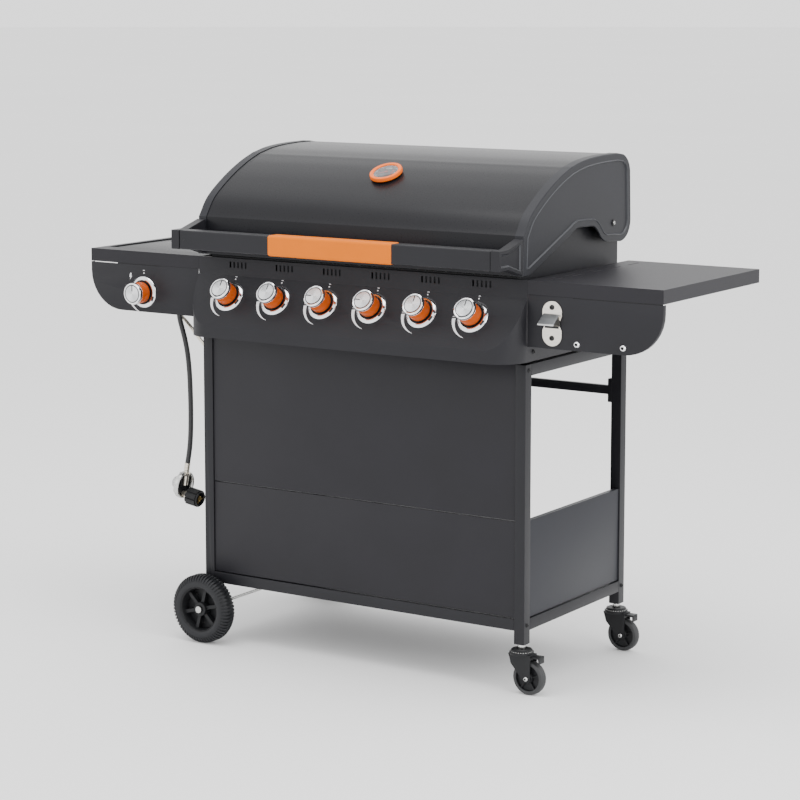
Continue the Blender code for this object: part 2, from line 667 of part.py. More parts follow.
def build_control_panel():
    tall = TABLE_TOP_Z - PANEL_BOTTOM_Z
    at = (0, 0, PANEL_BOTTOM_Z + tall / 2)
    panel = flat("control_panel", plan_outline(0, TABLE_BACK_Y), tall, (0, 0, 0), at, BLACK)
    cut(panel, slant_wedge("slant", 0))
    below = 0.02
    hollow_at = (0, 0, at[2] - (SHEET + below) / 2)
    hollow_tall = tall - SHEET + below
    hollow = flat("panel_hollow", plan_outline(SHEET, TABLE_BACK_Y + 0.02), hollow_tall, (0, 0, 0), hollow_at,
                  None, CUTTERS)
    cut(hollow, slant_wedge("slant_inside", SHEET))
    cut(panel, hollow)
    side = PANEL_HALF_X - SHEET
    back_low = (-side, BOWL_FRONT_Y - 2 * GAP, PANEL_BOTTOM_Z - 0.02)
    back = (back_low, (side, TABLE_BACK_Y + 0.03, TABLE_TOP_Z + 0.05))
    cut(panel, boxes("panel_back", [back]))
    vents = []
    for x in VENT_XS:
        for i in range(VENTS_PER_KNOB):
            low_x = x + VENT_PITCH * (i - (VENTS_PER_KNOB - 1) / 2) - VENT_WIDE / 2
            low = (low_x, PANEL_STRIP_Y - 0.003, VENT_LOW_Z)
            vents.append((low, (low_x + VENT_WIDE, PANEL_STRIP_Y + 0.003, VENT_LOW_Z + VENT_TALL)))
    cut(panel, boxes("vents", vents))
    for x in KNOB_XS:
        face = Vector((x, KNOB_Y, KNOB_Z))
        drill(panel, face - SLANT_OUT * 0.008, face + SLANT_OUT * 0.008, KNOB_HOLE_R)
    inlet = (-PANEL_HALF_X, INLET_Y, MANIFOLD_Z)
    drill(panel, (inlet[0] - 0.01, *inlet[1:]), (inlet[0] + 0.01, *inlet[1:]), MANIFOLD_R + 0.001)


def knob_profile():
    """A knob from the tip of its face down to the end of its spindle, which is behind the panel."""
    skirt_r = KNOB_R - 0.0008
    profile = [(0, KNOB_TALL), (KNOB_R - 0.003, KNOB_TALL), (KNOB_R, KNOB_TALL - 0.003)]
    profile += [(KNOB_R, KNOB_TALL - 0.016), (skirt_r, KNOB_TALL - 0.017), (skirt_r, 0.0050), (0.0045, 0.0050)]
    profile += [(0.0045, -0.0200), (0, -0.0200)]
    return profile


def build_knobs():
    for i, x in enumerate(KNOB_XS):
        at = (x, KNOB_Y, KNOB_Z)
        turned(f"burner_knob_{i + 1}", knob_profile(), at, (SLANT_TURN, 0, 0), ORANGE, steps=14)
    at = (SIDE_KNOB_X, PANEL_STRIP_Y, SIDE_KNOB_Z)
    turned("side_burner_knob", knob_profile(), at, ALONG_FRONT, ORANGE, steps=14)


def build_gas_manifold():
    """Gas rail with one valve a burner, the inlet elbow, and the branch to the side burner's valve."""
    lane_x = -(BOWL_HALF_X + PANEL_HALF_X) / 2
    bend = 0.016
    line = [(KNOB_XS[-1] + 0.03, MANIFOLD_Y), (lane_x + bend, MANIFOLD_Y)]
    line += arc((lane_x + bend, MANIFOLD_Y + bend), bend, 270, 180, 5)[1:]
    line += [(lane_x, INLET_Y - bend)]
    line += arc((lane_x - bend, INLET_Y - bend), bend, 0, 90, 5)[1:]
    line += [(INLET_END_X, INLET_Y)]
    rail = pipe("gas_manifold", [(x, y, MANIFOLD_Z) for x, y in line], MANIFOLD_R, STEEL)
    for i, x in enumerate(KNOB_XS):
        face = Vector((x, KNOB_Y, KNOB_Z))
        start = face - SLANT_OUT * 0.0203
        valve = rod(f"valve_{i + 1}", start, face - SLANT_OUT * 0.0385, 0.010, None, 12, CUTTERS)
        join(rail, valve)
    inlet_low = (INLET_END_X, INLET_Y, MANIFOLD_Z)
    inlet_high = (INLET_END_X + 0.017, INLET_Y, MANIFOLD_Z)
    join(rail, rod("inlet_nut", inlet_low, inlet_high, 0.0115, None, 6, CUTTERS))
    side_back_y = PANEL_STRIP_Y + 0.045
    side_front = (SIDE_KNOB_X, PANEL_STRIP_Y + 0.0203, SIDE_KNOB_Z)
    branch_x = -BOWL_HALF_X + 0.015
    from_valve = [(0.003, 0.0516, -0.004), (0.018, 0.0666, -0.024), (0.047, 0.0806, -0.045)]
    from_valve += [(0.077, 0.0826, -0.073)]
    from_branch = [(-0.100, 0.0826, -0.102), (-0.073, 0.0846, -0.123), (-0.042, 0.0866, -0.132)]
    from_branch += [(-0.015, 0.0766, -0.128), (-0.001, 0.0576, -0.114), (0, 0.0416, -0.095)]
    from_branch += [(0, 0.0321, -0.078), (0, 0.0226, -0.0645), (0, 0.0026, -0.054), (0, -0.0099, -0.036)]
    route = [(SIDE_KNOB_X, side_back_y - 0.008, SIDE_KNOB_Z - 0.002)]
    route += [(SIDE_KNOB_X + x, PANEL_STRIP_Y + y, MANIFOLD_Z + z) for x, y, z in from_valve]
    route += [(branch_x + x, PANEL_STRIP_Y + y, MANIFOLD_Z + z) for x, y, z in from_branch]
    route += [(branch_x, MANIFOLD_Y, MANIFOLD_Z - 0.016), (branch_x, MANIFOLD_Y, MANIFOLD_Z)]
    branch = pipe("side_branch", smooth_line(route, 0.012), 0.004, None, 1, CUTTERS)
    join(rail, branch)
    side_back = (SIDE_KNOB_X, side_back_y, SIDE_KNOB_Z)
    join(rail, rod("side_valve", side_front, side_back, 0.009, None, 12, CUTTERS))


# ------------------------------------------------------------------ fire bowl and what it holds
def ear_outline():
    """Side wall of the fire bowl, which rises at the back to carry the hinge."""
    front = BOWL_FRONT_Y + 0.0005
    back = BOWL_BACK_Y - 0.0005
    low = BOWL_BOTTOM_Z + 0.007
    outline = [(front, low), (back, low), (back, BOWL_REAR_TOP_Z + 0.001)]
    outline += arc((HINGE_Y, HINGE_Z), 0.020, -10, 100, 5)
    outline += [(HINGE_Y - 0.097, HINGE_Z + 0.012), (HINGE_Y - 0.177, HINGE_Z + 0.009)]
    outline += [(BOWL_FRONT_Y + 0.022, BOWL_TOP_Z + 0.015), (front, BOWL_TOP_Z + 0.0005)]
    return outline


def build_firebox():
    low = (-BOWL_HALF_X, BOWL_FRONT_Y, BOWL_BOTTOM_Z)
    high = (BOWL_HALF_X, BOWL_BACK_Y, BOWL_TOP_Z)
    bowl = pan("firebox", low, high, (0, 0, 1), IRON, TUBE_WALL)
    drain_x = TRAY_HALF_X - 0.033
    drain_low = (-drain_x, BOWL_FRONT_Y + 0.072, BOWL_BOTTOM_Z - 0.01)
    cut(bowl, boxes("drain_opening", [(drain_low, (drain_x, BOWL_BACK_Y - 0.070, BOWL_BOTTOM_Z + 0.01))]))
    raised_low = (-BOWL_HALF_X + 0.0006, BOWL_BACK_Y - 0.0013, BOWL_TOP_Z - 0.02)
    raised_high = (BOWL_HALF_X - 0.0006, BOWL_BACK_Y - 0.0002, BOWL_REAR_TOP_Z)
    join(bowl, boxes("raised_back", [(raised_low, raised_high)]))
    ear_mid = BOWL_HALF_X
    for side_name, side in (("left", -1), ("right", 1)):
        ear = flat(f"ear_{side_name}", ear_outline(), TUBE_WALL, IN_YZ, (side * ear_mid, 0, 0), None, CUTTERS)
        join(bowl, ear)
    for side in (-1, 1):
        start = (side * (ear_mid - 0.01), HINGE_Y, HINGE_Z)
        drill(bowl, start, (side * (ear_mid + 0.01), HINGE_Y, HINGE_Z), HINGE_PIN_R + RUN)
    for x in KNOB_XS:
        drill(bowl, (x, BOWL_FRONT_Y - 0.01, BURNER_Z), (x, BOWL_FRONT_Y + 0.01, BURNER_Z), 0.0165)
    ledge_x = BOWL_HALF_X - 0.009
    ledge_top = GRATE_Z - GAP
    ledge_low = ledge_top - 0.004
    front_ledge = ((-ledge_x, BOWL_FRONT_Y + 0.0007, ledge_low), (ledge_x, BOWL_FRONT_Y + 0.015, ledge_top))
    back_ledge = ((-ledge_x, BOWL_BACK_Y - 0.015, ledge_low), (ledge_x, BOWL_BACK_Y - 0.0007, ledge_top))
    join(bowl, boxes("grate_ledges", [front_ledge, back_ledge]))
    webs = []
    lips = []
    for side in (-1, 1):
        web_low, web_high = sided(side, TRAY_HALF_X + 0.0005, TRAY_HALF_X + 0.0020)
        lip_low, lip_high = sided(side, TRAY_HALF_X - 0.011, TRAY_HALF_X + 0.0013)
        webs.append(((web_low, BOWL_FRONT_Y + 0.022, FRAME_TOP + 0.0022),
                     (web_high, BOWL_BACK_Y - 0.005, BOWL_BOTTOM_Z + 0.0007)))
        lips.append(((lip_low, BOWL_FRONT_Y + 0.023, FRAME_TOP + 0.0020),
                     (lip_high, BOWL_BACK_Y - 0.006, FRAME_TOP + 0.0032)))
    join(bowl, boxes("tray_webs", webs))
    join(bowl, boxes("tray_lips", lips))


def build_grease_tray():
    low = (-TRAY_HALF_X, BOWL_FRONT_Y + 0.027, FRAME_TOP + 0.0035)
    high = (TRAY_HALF_X, BOWL_BACK_Y - 0.007, BOWL_BOTTOM_Z - 0.001)
    pan("grease_tray", low, high, (0, 0, 1), STEEL)


def build_burners():
    front_y = BOWL_FRONT_Y + 0.003
    back_y = BOWL_BACK_Y - 0.030
    tubes = []
    for i, x in enumerate(KNOB_XS):
        start = (x, front_y, BURNER_Z)
        tubes.append(rod(f"burner_{i + 1}", start, (x, back_y, BURNER_Z), BURNER_R, None, 12, CUTTERS))
    half_x = BOWL_HALF_X - TUBE_WALL - 2 * GAP
    rail_low = (-half_x, BOWL_BACK_Y - 0.060, BURNER_Z - 0.004)
    rail = block("burner_set", rail_low, (half_x, BOWL_BACK_Y - 0.052, BURNER_Z + 0.004), STEEL)
    for tube in tubes:
        join(rail, tube)


def lattice(name, low, high, slots, bar, margin, finish):
    """A flat grate: a plate with even slots along Y between bars along Y."""
    plate = block(name, low, high, finish)
    span = high[0] - low[0] - 2 * margin
    pitch = (span + bar) / slots
    openings = []
    for i in range(slots):
        x = low[0] + margin + i * pitch
        slot_low = (x, low[1] + margin, low[2] - 0.01)
        openings.append((slot_low, (x + pitch - bar, high[1] - margin, high[2] + 0.01)))
    cut(plate, boxes(name + "_slots", openings))
    return plate


def build_grates():
    tall = 0.010
    front_y = BOWL_FRONT_Y + 0.004
    back_y = BOWL_BACK_Y - 0.004
    outer = BOWL_HALF_X - 0.004
    for side_name, side in (("left", -1), ("right", 1)):
        x_low, x_high = sided(side, 0.001, outer)
        lattice(f"cooking_grate_{side_name}", (x_low, front_y, GRATE_Z), (x_high, back_y, GRATE_Z + tall),
                16, 0.009, 0.010, IRON)
    rack_half = BOWL_HALF_X - 0.014
    rack_low = (-rack_half, HINGE_Y - 0.112, RACK_Z)
    rack_high = (rack_half, HINGE_Y + 0.028, RACK_Z + 0.004)
    rack = lattice("warming_rack", rack_low, rack_high, 18, 0.004, 0.005, CHROME)
    reach = BOWL_HALF_X - TUBE_WALL - 2 * GAP
    hooks = []
    for side in (-1, 1):
        x_low, x_high = sided(side, rack_half - 0.003, reach)
        for y in (HINGE_Y - 0.097, HINGE_Y - 0.037):
            hooks.append(((x_low, y, RACK_Z + 0.0005), (x_high, y + 0.008, RACK_Z + 0.0035)))
    join(rack, boxes("rack_hooks", hooks))


# ------------------------------------------------------------------ lid
def lid_curve():
    """The lid's outer line from its front edge, over the dome, down to the back, as (y, z)."""
    from_front = [(-0.017, 0.085), (0.016, 0.128), (0.077, 0.169), (0.160, 0.209)]
    from_hinge = [(-0.104, 0.1495), (0.015, 0.154)]
    dome = [(BOWL_FRONT_Y + y, LID_EDGE_Z + z, 0) for y, z in from_front]
    dome += [(HINGE_Y + y, HINGE_Z + z, 0) for y, z in from_hinge]
    line = [(BOWL_FRONT_Y - 0.0206, LID_EDGE_Z)]
    line += [(p.x, p.y) for p in smooth_line(dome, 0.036)]
    line += arc((HINGE_Y + 0.030, HINGE_Z + 0.106), 0.046, 72, 8, 3)
    return line


def lid_end_outline():
    """The end cap's whole outline: the lid's line, the round lobe behind the hinge and the slanted edge."""
    outline = lid_curve()
    outline += arc((HINGE_Y + 0.033, HINGE_Z + 0.003), 0.047, 0, -100, 6)
    below_hinge = [(-0.027, -0.040), (-0.057, -0.031), (-0.079, -0.008), (-0.097, 0), (-0.164, 0.002)]
    below_hinge += [(-0.182, -0.005)]
    outline += [(HINGE_Y + y, HINGE_Z + z) for y, z in below_hinge]
    outline += [(BOWL_FRONT_Y + 0.008, LID_EDGE_Z)]
    return outline


def offset_line(line, inset):
    """A line of (y, z) points moved sideways to its right by a distance."""
    moved = []
    for i, here in enumerate(line):
        before = line[max(i - 1, 0)]
        after = line[min(i + 1, len(line) - 1)]
        along = (Vector(after) - Vector(before)).normalized()
        moved.append((here[0] + along.y * inset, here[1] - along.x * inset))
    return moved


def lid_line_at(y):
    """Height of the lid's outer line over a place on the Y axis."""
    line = lid_curve()
    for (y0, z0), (y1, z1) in zip(line, line[1:]):
        if y0 <= y <= y1:
            return z0 + (z1 - z0) * (y - y0) / (y1 - y0)
    return line[-1][1]


def thermometer_seat():
    """The thermometer's place on the lid's outer line, and the line's slope there."""
    reach = THERMOMETER_R
    behind = lid_line_at(THERMOMETER_Y + reach)
    ahead = lid_line_at(THERMOMETER_Y - reach)
    at = Vector((0, THERMOMETER_Y, lid_line_at(THERMOMETER_Y)))
    return at, math.atan2(behind - ahead, 2 * reach)


def build_lid_shell():
    line = offset_line(lid_curve(), SHEET + GAP)
    bottom = (line[-1][0] + 0.001, LID_BACK_EDGE_Z)
    line = line + [bottom]
    form = bmesh.new()
    points = [form.verts.new((-LID_SHELL_HALF_X, y, z)) for y, z in line]
    edges = [form.edges.new(pair) for pair in zip(points, points[1:])]
    made = bmesh.ops.extrude_edge_only(form, edges=edges)["geom"]
    moved = [v for v in made if isinstance(v, bmesh.types.BMVert)]
    bmesh.ops.translate(form, vec=(2 * LID_SHELL_HALF_X, 0, 0), verts=moved)
    bmesh.ops.recalc_face_normals(form, faces=form.faces)
    top = max(form.faces, key=lambda face: face.calc_center_median().z)
    if top.normal.z < 0:
        bmesh.ops.reverse_faces(form, faces=form.faces)
    shell = thicken(place(mesh_from(form, "lid_shell"), "lid_shell", LID_BLACK, (0, 0, 0)), SHEET)
    centre, tilt = thermometer_seat()
    way = Vector((0, -math.sin(tilt), math.cos(tilt)))
    drill(shell, centre - way * 0.02, centre + way * 0.02, THERMOMETER_STEM_R + RUN, 12)


def rimmed(name, outline, rim_count, depth, turn, at, finish, wall=SHEET):
    """A flat sheet in its own XY plane, facing +Z, with a rim turned back along its first edges."""
    form = bmesh.new()
    points = [form.verts.new((x, y, 0)) for x, y in outline]
    edges = [form.edges.new((start, end)) for start, end in zip(points, points[1:] + points[:1])]
    bmesh.ops.contextual_create(form, geom=edges)
    form.faces.ensure_lookup_table()
    form.faces[0].normal_update()
    if form.faces[0].normal.z < 0:
        bmesh.ops.reverse_faces(form, faces=form.faces)
    made = bmesh.ops.extrude_edge_only(form, edges=edges[:rim_count])["geom"]
    moved = [v for v in made if isinstance(v, bmesh.types.BMVert)]
    bmesh.ops.translate(form, vec=(0, 0, -depth), verts=moved)
    face = max(form.faces, key=lambda f: len(f.verts))
    bmesh.ops.recalc_face_normals(form, faces=form.faces)
    face.normal_update()
    if face.normal.z < 0:
        bmesh.ops.reverse_faces(form, faces=form.faces)
    return thicken(place(mesh_from(form, name), name, finish, at, turn), wall)


def build_lid_ends():
    outline = lid_end_outline()
    for side_name, side in (("left", -1), ("right", 1)):
        if side > 0:
            drawn = outline
            turn = IN_YZ
        else:
            drawn = [(-y, z) for y, z in outline]
            turn = (math.pi / 2, 0, -math.pi / 2)
        rim_edges = len(lid_curve()) + 6
        at = (side * LID_HALF_X, 0, 0)
        cap = rimmed(f"lid_end_{side_name}", drawn, rim_edges, LID_RIM, turn, at, LID_BLACK)
        start = (side * (LID_HALF_X - 0.01), HINGE_Y, HINGE_Z)
        drill(cap, start, (side * (LID_HALF_X + 0.01), HINGE_Y, HINGE_Z), HINGE_PIN_R + RUN)


def build_handle():
    back_y = HANDLE_FRONT_Y + HANDLE_DEPTH
    top_z = HANDLE_LOW_Z + HANDLE_TALL
    low = (-LID_HALF_X, HANDLE_FRONT_Y, HANDLE_LOW_Z)
    handle = pan("lid_handle", low, (LID_HALF_X, back_y, top_z), (0, 1, 0), BLACK, TUBE_WALL)
    half_wall = TUBE_WALL / 2
    arm_back = lid_curve()[0][0] - GAP
    outline = [(HANDLE_FRONT_Y + half_wall, HANDLE_LOW_Z + half_wall), (back_y, HANDLE_LOW_Z + half_wall)]
    outline += [(arm_back, LID_EDGE_Z + 0.001), (arm_back, LID_EDGE_Z + 0.079), (back_y, top_z - half_wall)]
    outline += [(HANDLE_FRONT_Y + half_wall, top_z - half_wall)]
    thick = LID_RIM - half_wall
    for side_name, side in (("left", -1), ("right", 1)):
        at = (side * (LID_HALF_X - half_wall - thick / 2), 0, 0)
        join(handle, flat(f"arm_{side_name}", outline, thick, IN_YZ, at, None, CUTTERS))
    grip_low = (-GRIP_HALF_X, GRIP_FRONT_Y, HANDLE_LOW_Z - GAP - GRIP_WALL)
    grip_high = (GRIP_HALF_X, back_y + GAP + GRIP_WALL, top_z + GAP + GRIP_WALL)
    square_tube("handle_grip", grip_low, grip_high, (1, 0, 0), ORANGE, GRIP_WALL)


def build_thermometer():
    lift = 0.0016
    top = 0.0110
    dial_r = THERMOMETER_R - 0.008
    profile = [(0, top - 0.002), (dial_r, top - 0.002), (dial_r + 0.003, top), (THERMOMETER_R, top - 0.002)]
    profile += [(THERMOMETER_R, lift), (0.010, lift), (0.010, 0), (THERMOMETER_STEM_R, 0)]
    profile += [(THERMOMETER_STEM_R, -0.035), (0, -0.035)]
    at, tilt = thermometer_seat()
    turned("thermometer", profile, at, (tilt, 0, 0), ORANGE, steps=20)


def build_hinge_bolts():
    outer = LID_HALF_X + GAP
    inner = BOWL_HALF_X - TUBE_WALL / 2 - 3 * GAP
    profile = [(0, outer + 0.0045), (0.0085, outer + 0.0045), (0.0085, outer), (HINGE_PIN_R, outer)]
    profile += [(HINGE_PIN_R, inner), (0.0070, inner), (0.0070, inner - 0.005), (0, inner - 0.005)]
    for side_name, turn in (("left", ALONG_LEFT), ("right", ALONG_RIGHT)):
        turned(f"lid_hinge_bolt_{side_name}", profile, (0, HINGE_Y, HINGE_Z), turn, STEEL, steps=12)


# ------------------------------------------------------------------ side tables
def fascia_outline():
    """Front view of a side table's fascia, from the inner edge, with its round lower corner."""
    inner_x = TABLE_INNER_X + PANEL_SEAM
    top_z = APRON_Z - GAP
    centre = (TABLE_OUTER_X - FASCIA_CORNER_R, FASCIA_Z + FASCIA_CORNER_R)
    outline = [(TABLE_OUTER_X, top_z - FASCIA_SLIT)]
    outline += arc(centre, FASCIA_CORNER_R, 0, -90, 10)
    outline += [(inner_x, FASCIA_Z), (inner_x, top_z), (FASCIA_SLIT_X, top_z)]
    outline += [(FASCIA_SLIT_X, top_z - FASCIA_SLIT)]
    return outline


def build_fascia(side_name, side):
    drawn = [(side * x, z) for x, z in fascia_outline()]
    rim_edges = len(drawn) - 4
    return rimmed(f"{side_name}_table_fascia", drawn, rim_edges, FASCIA_DEPTH, IN_XZ,
                  (0, PANEL_STRIP_Y, 0), BLACK)


def build_right_table():
    low = (TABLE_INNER_X, PANEL_STRIP_Y, APRON_Z)
    high = (TABLE_OUTER_X, TABLE_BACK_Y, TABLE_TOP_Z)
    top = pan("right_table_top", low, high, (0, 0, -1), BLACK)
    slots = []
    for x, count in ((TABLE_INNER_X + 0.0262, 4), (TABLE_INNER_X + 0.0412, 5)):
        for i in range(count):
            y = PANEL_STRIP_Y + 0.0356 + 0.084 * i
            slots.append(((x - 0.0015, y, TABLE_TOP_Z - 0.01), (x + 0.0015, y + 0.049, TABLE_TOP_Z + 0.01)))
    cut(top, boxes("table_slots", slots))
    build_fascia("right", 1)


def build_left_table():
    low = (-TABLE_OUTER_X, PANEL_STRIP_Y, APRON_Z)
    high = (-TABLE_INNER_X, TABLE_BACK_Y, TABLE_TOP_Z)
    top = pan("left_table_top", low, high, (0, 0, -1), BLACK)
    wall = SHEET
    slab_low = (-WELL_OUTER_X - wall, -WELL_HALF_Y - wall, WELL_FLOOR_Z - wall)
    slab_high = (-WELL_INNER_X + wall, WELL_HALF_Y + wall, TABLE_TOP_Z - wall / 2)
    join(top, boxes("well_slab", [(slab_low, slab_high)]))
    well = ((-WELL_OUTER_X, -WELL_HALF_Y, WELL_FLOOR_Z), (-WELL_INNER_X, WELL_HALF_Y, TABLE_TOP_Z + 0.02))
    cut(top, boxes("well", [well]))
    hole_low = (SIDE_KNOB_X, 0, WELL_FLOOR_Z - 0.02)
    drill(top, hole_low, (SIDE_KNOB_X, 0, WELL_FLOOR_Z + 0.02), SIDE_BOWL_HOLE_R, 24)
    fascia = build_fascia("left", -1)
    knob = (SIDE_KNOB_X, PANEL_STRIP_Y, SIDE_KNOB_Z)
    drill(fascia, (knob[0], knob[1] - 0.008, knob[2]), (knob[0], knob[1] + 0.008, knob[2]), KNOB_HOLE_R)
    inset = PANEL_SEAM
    cover_low = (-WELL_OUTER_X + inset, -WELL_HALF_Y + inset, COVER_LOW_Z)
    cover_high = (-WELL_INNER_X - inset, WELL_HALF_Y - inset, COVER_LOW_Z + COVER_TALL)
    pan("side_burner_cover", cover_low, cover_high, (0, 0, -1), BLACK)
    rim_top = WELL_FLOOR_Z - SHEET - GAP
    rim_low = rim_top - SHEET
    bowl_r = SIDE_BOWL_HOLE_R - 0.004
    profile = [(0, rim_top - 0.0062), (0.028, rim_top - 0.0062), (0.030, rim_top - 0.0092)]
    profile += [(0.030, rim_top - 0.0382), (0.075, rim_top - 0.0382), (bowl_r, rim_top - 0.0182)]
    profile += [(SIDE_BOWL_HOLE_R, rim_top), (SIDE_BOWL_HOLE_R + 0.008, rim_top)]
    profile += [(SIDE_BOWL_HOLE_R + 0.008, rim_low), (SIDE_BOWL_HOLE_R + 0.0012, rim_low)]
    profile += [(bowl_r + 0.0012, rim_low - 0.0190), (0.076, rim_low - 0.0400), (0.020, rim_low - 0.0400)]
    profile += [(0.020, rim_low - 0.0550), (0, rim_low - 0.0550)]
    turned("side_burner", profile, (SIDE_KNOB_X, 0, 0), (0, 0, 0), STEEL, steps=24)


def build_bottle_opener():
    x = TABLE_INNER_X + OPENER_OUT
    low_z = FASCIA_Z + OPENER_LOW_RISE
    high_z = FASCIA_Z + OPENER_HIGH_RISE
    outline = arc((x, high_z), OPENER_HALF_WIDE, 0, 180, 8) + arc((x, low_z), OPENER_HALF_WIDE, 180, 360, 8)
    thick = 0.002
    face_y = PANEL_STRIP_Y - GAP - thick
    plate = flat("bottle_opener", outline, thick, IN_XZ, (0, face_y + thick / 2, 0), CHROME)
    tab_y = face_y - 0.028
    tab = [(face_y + 0.001, high_z + 0.005), (tab_y, high_z - 0.018), (tab_y, high_z - 0.021)]
    tab += [(tab_y + 0.0025, high_z - 0.021), (tab_y + 0.0025, high_z - 0.018)]
    tab += [(face_y + 0.001, high_z + 0.001)]
    join(plate, flat("opener_tab", tab, 0.030, IN_YZ, (x, 0, 0), None, CUTTERS))
    for z in (low_z - 0.006, high_z + 0.010):
        drill(plate, (x, face_y - 0.01, z), (x, face_y + 0.01, z), 0.004, 12)


# ------------------------------------------------------------------ gas hose and regulator
def regulator_point(x, z):
    """A place on the leaning regulator, from its disc's middle."""
    lean_x = x * math.cos(REGULATOR_LEAN) + z * math.sin(REGULATOR_LEAN)
    lean_z = z * math.cos(REGULATOR_LEAN) - x * math.sin(REGULATOR_LEAN)
    return (REGULATOR[0] + lean_x, REGULATOR[1], REGULATOR[2] + lean_z)


def build_hose():
    """The free hose, from the inlet under the left table to the regulator's ferrule."""
    steps = [(-GAP, 0, 0), (-0.016, 0, -0.0005), (-0.032, 0.0005, -0.005), (-0.044, 0.002, -0.015)]
    steps += [(-0.0505, 0.0045, -0.029), (-0.0515, 0.008, -0.046), (-0.0485, 0.012, -0.067)]
    steps += [(-0.0435, 0.016, -0.094), (-0.0385, 0.019, -0.129), (-0.0345, 0.020, -0.174)]
    steps += [(-0.0325, 0.020, -0.224), (-0.0320, 0.020, -0.274), (-0.0335, 0.020, -0.319)]
    steps += [(-0.0370, 0.020, -0.354)]
    route = [INLET_END + Vector(step) for step in steps]
    route += [regulator_point(FERRULE_X, FERRULE_TOP + GAP)]
    pipe("gas_hose", smooth_line(route, 0.016), HOSE_R, RUBBER)


def build_regulator():
    lean = (0, REGULATOR_LEAN, 0)
    sideways = (0, REGULATOR_LEAN + math.pi / 2, 0)
    body = [(0, 0.0120), (REGULATOR_R - 0.003, 0.0120), (REGULATOR_R, 0.0090), (REGULATOR_R, 0.0010)]
    body += [(REGULATOR_R - 0.004, -0.003), (0.014, -0.009), (0.013, -0.020), (0, -0.022)]
    disc = turned("gas_regulator", body, REGULATOR, sideways, STEEL, steps=20)
    ferrule = [(0, FERRULE_TOP), (0.0068, FERRULE_TOP), (0.0068, 0.0345), (0.0050, 0.0335)]
    ferrule += [(0.0050, 0.0280), (0, 0.0280)]
    root = regulator_point(FERRULE_X, 0)
    join(disc, turned("ferrule", ferrule, root, lean, None, steps=12, group=CUTTERS))
    start = regulator_point(0.006, -NUT_DROP)
    end = regulator_point(NUT_START_X + NUT_LONG + 0.003, -NUT_DROP)
    join(disc, rod("nipple", start, end, 0.007, None, 12, CUTTERS))
    bore = 0.007 + RUN
    nut = [(bore, NUT_LONG), (NUT_R - 0.002, NUT_LONG), (NUT_R, NUT_LONG - 0.002), (NUT_R, 0.003)]
    nut += [(NUT_R - 0.003, 0), (bore, 0)]
    at = regulator_point(NUT_START_X, -NUT_DROP)
    turned("regulator_nut", nut, at, sideways, PLASTIC, steps=16, closed=True)


# ------------------------------------------------------------------ the whole barbecue
build_posts()
build_rails()
build_crossbar()
build_panels()
build_transport_wheels()
build_casters()
build_control_panel()
build_knobs()
build_gas_manifold()
build_firebox()
build_grease_tray()
build_burners()
build_grates()
build_lid_shell()
build_lid_ends()
build_handle()
build_thermometer()
build_hinge_bolts()
build_right_table()
build_left_table()
build_bottle_opener()
build_hose()
build_regulator()
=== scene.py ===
"""Looks of the six-burner gas barbecue: fine shells, knobs, wheels, hose and every material."""
import math

import bmesh
import bpy
from mathutils import Matrix, Vector


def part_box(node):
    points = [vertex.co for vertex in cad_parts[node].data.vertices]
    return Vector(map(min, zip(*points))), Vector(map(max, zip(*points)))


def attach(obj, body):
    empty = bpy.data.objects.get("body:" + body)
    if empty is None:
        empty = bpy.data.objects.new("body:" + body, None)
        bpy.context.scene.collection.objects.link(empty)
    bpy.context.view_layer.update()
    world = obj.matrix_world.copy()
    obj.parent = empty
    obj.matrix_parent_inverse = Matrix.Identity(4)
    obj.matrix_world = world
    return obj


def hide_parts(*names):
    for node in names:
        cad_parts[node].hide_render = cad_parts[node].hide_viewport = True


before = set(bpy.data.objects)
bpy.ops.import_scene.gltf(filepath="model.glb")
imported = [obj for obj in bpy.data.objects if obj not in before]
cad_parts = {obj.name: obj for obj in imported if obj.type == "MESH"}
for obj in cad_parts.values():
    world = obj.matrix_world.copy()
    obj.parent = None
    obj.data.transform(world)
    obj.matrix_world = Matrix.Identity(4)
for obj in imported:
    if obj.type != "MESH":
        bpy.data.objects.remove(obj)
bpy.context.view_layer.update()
PHI = math.pi / 2

# ---- places read from the frame ----
CART_Y = (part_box("post_front_left")[0].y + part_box("post_rear_left")[1].y) / 2
POST_X = (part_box("post_front_right")[0].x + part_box("post_front_right")[1].x) / 2
LID_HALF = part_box("lid_end_right")[1].x
STRIP_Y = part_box("right_table_fascia")[0].y
PANEL_FRONT_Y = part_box("control_panel")[0].y
SLANT_RUN = STRIP_Y - PANEL_FRONT_Y
SLANT_RISE = 0.107
LIP_Z = 0.75
SLANT_OUT = Vector((0, -SLANT_RISE, SLANT_RUN)).normalized()
KNOB_Z = 0.813
KNOB_Y = PANEL_FRONT_Y + (KNOB_Z - LIP_Z) * SLANT_RUN / SLANT_RISE
KNOB_COUNT = 6
KNOB_PITCH = 0.1286
KNOB_SHIFT = 0.004
KNOB_XS = [KNOB_PITCH * (i - 2.5) - KNOB_SHIFT for i in range(KNOB_COUNT)]
SIDE_KNOB = Vector((-0.594, STRIP_Y, 0.803))
LEFT_TURNED_KNOBS = (2, 3)

# ---- sizes shared by several pieces ----
SHEET = 0.0012
PRINT = 0.0002
GAUGE_RADIUS = 0.0376
DIAL_TICKS = 31
HOSE_RADIUS = 0.006
NUT_RIBS = 9
TYRE_RADIUS = 0.0775
TYRE_HALF = 0.0222
LUG_COUNT = 60
WEB_STEPS = 72
WEB_HOLES = 3
WEB_FRONT, WEB_BACK = -0.004, -0.01
HANDLE_DEPTH = 0.035
HANDLE_LOW, HANDLE_TOP = 0.923, 0.966
ARM_WIDE = 0.0215
SIDES = (("left", -1), ("right", 1))

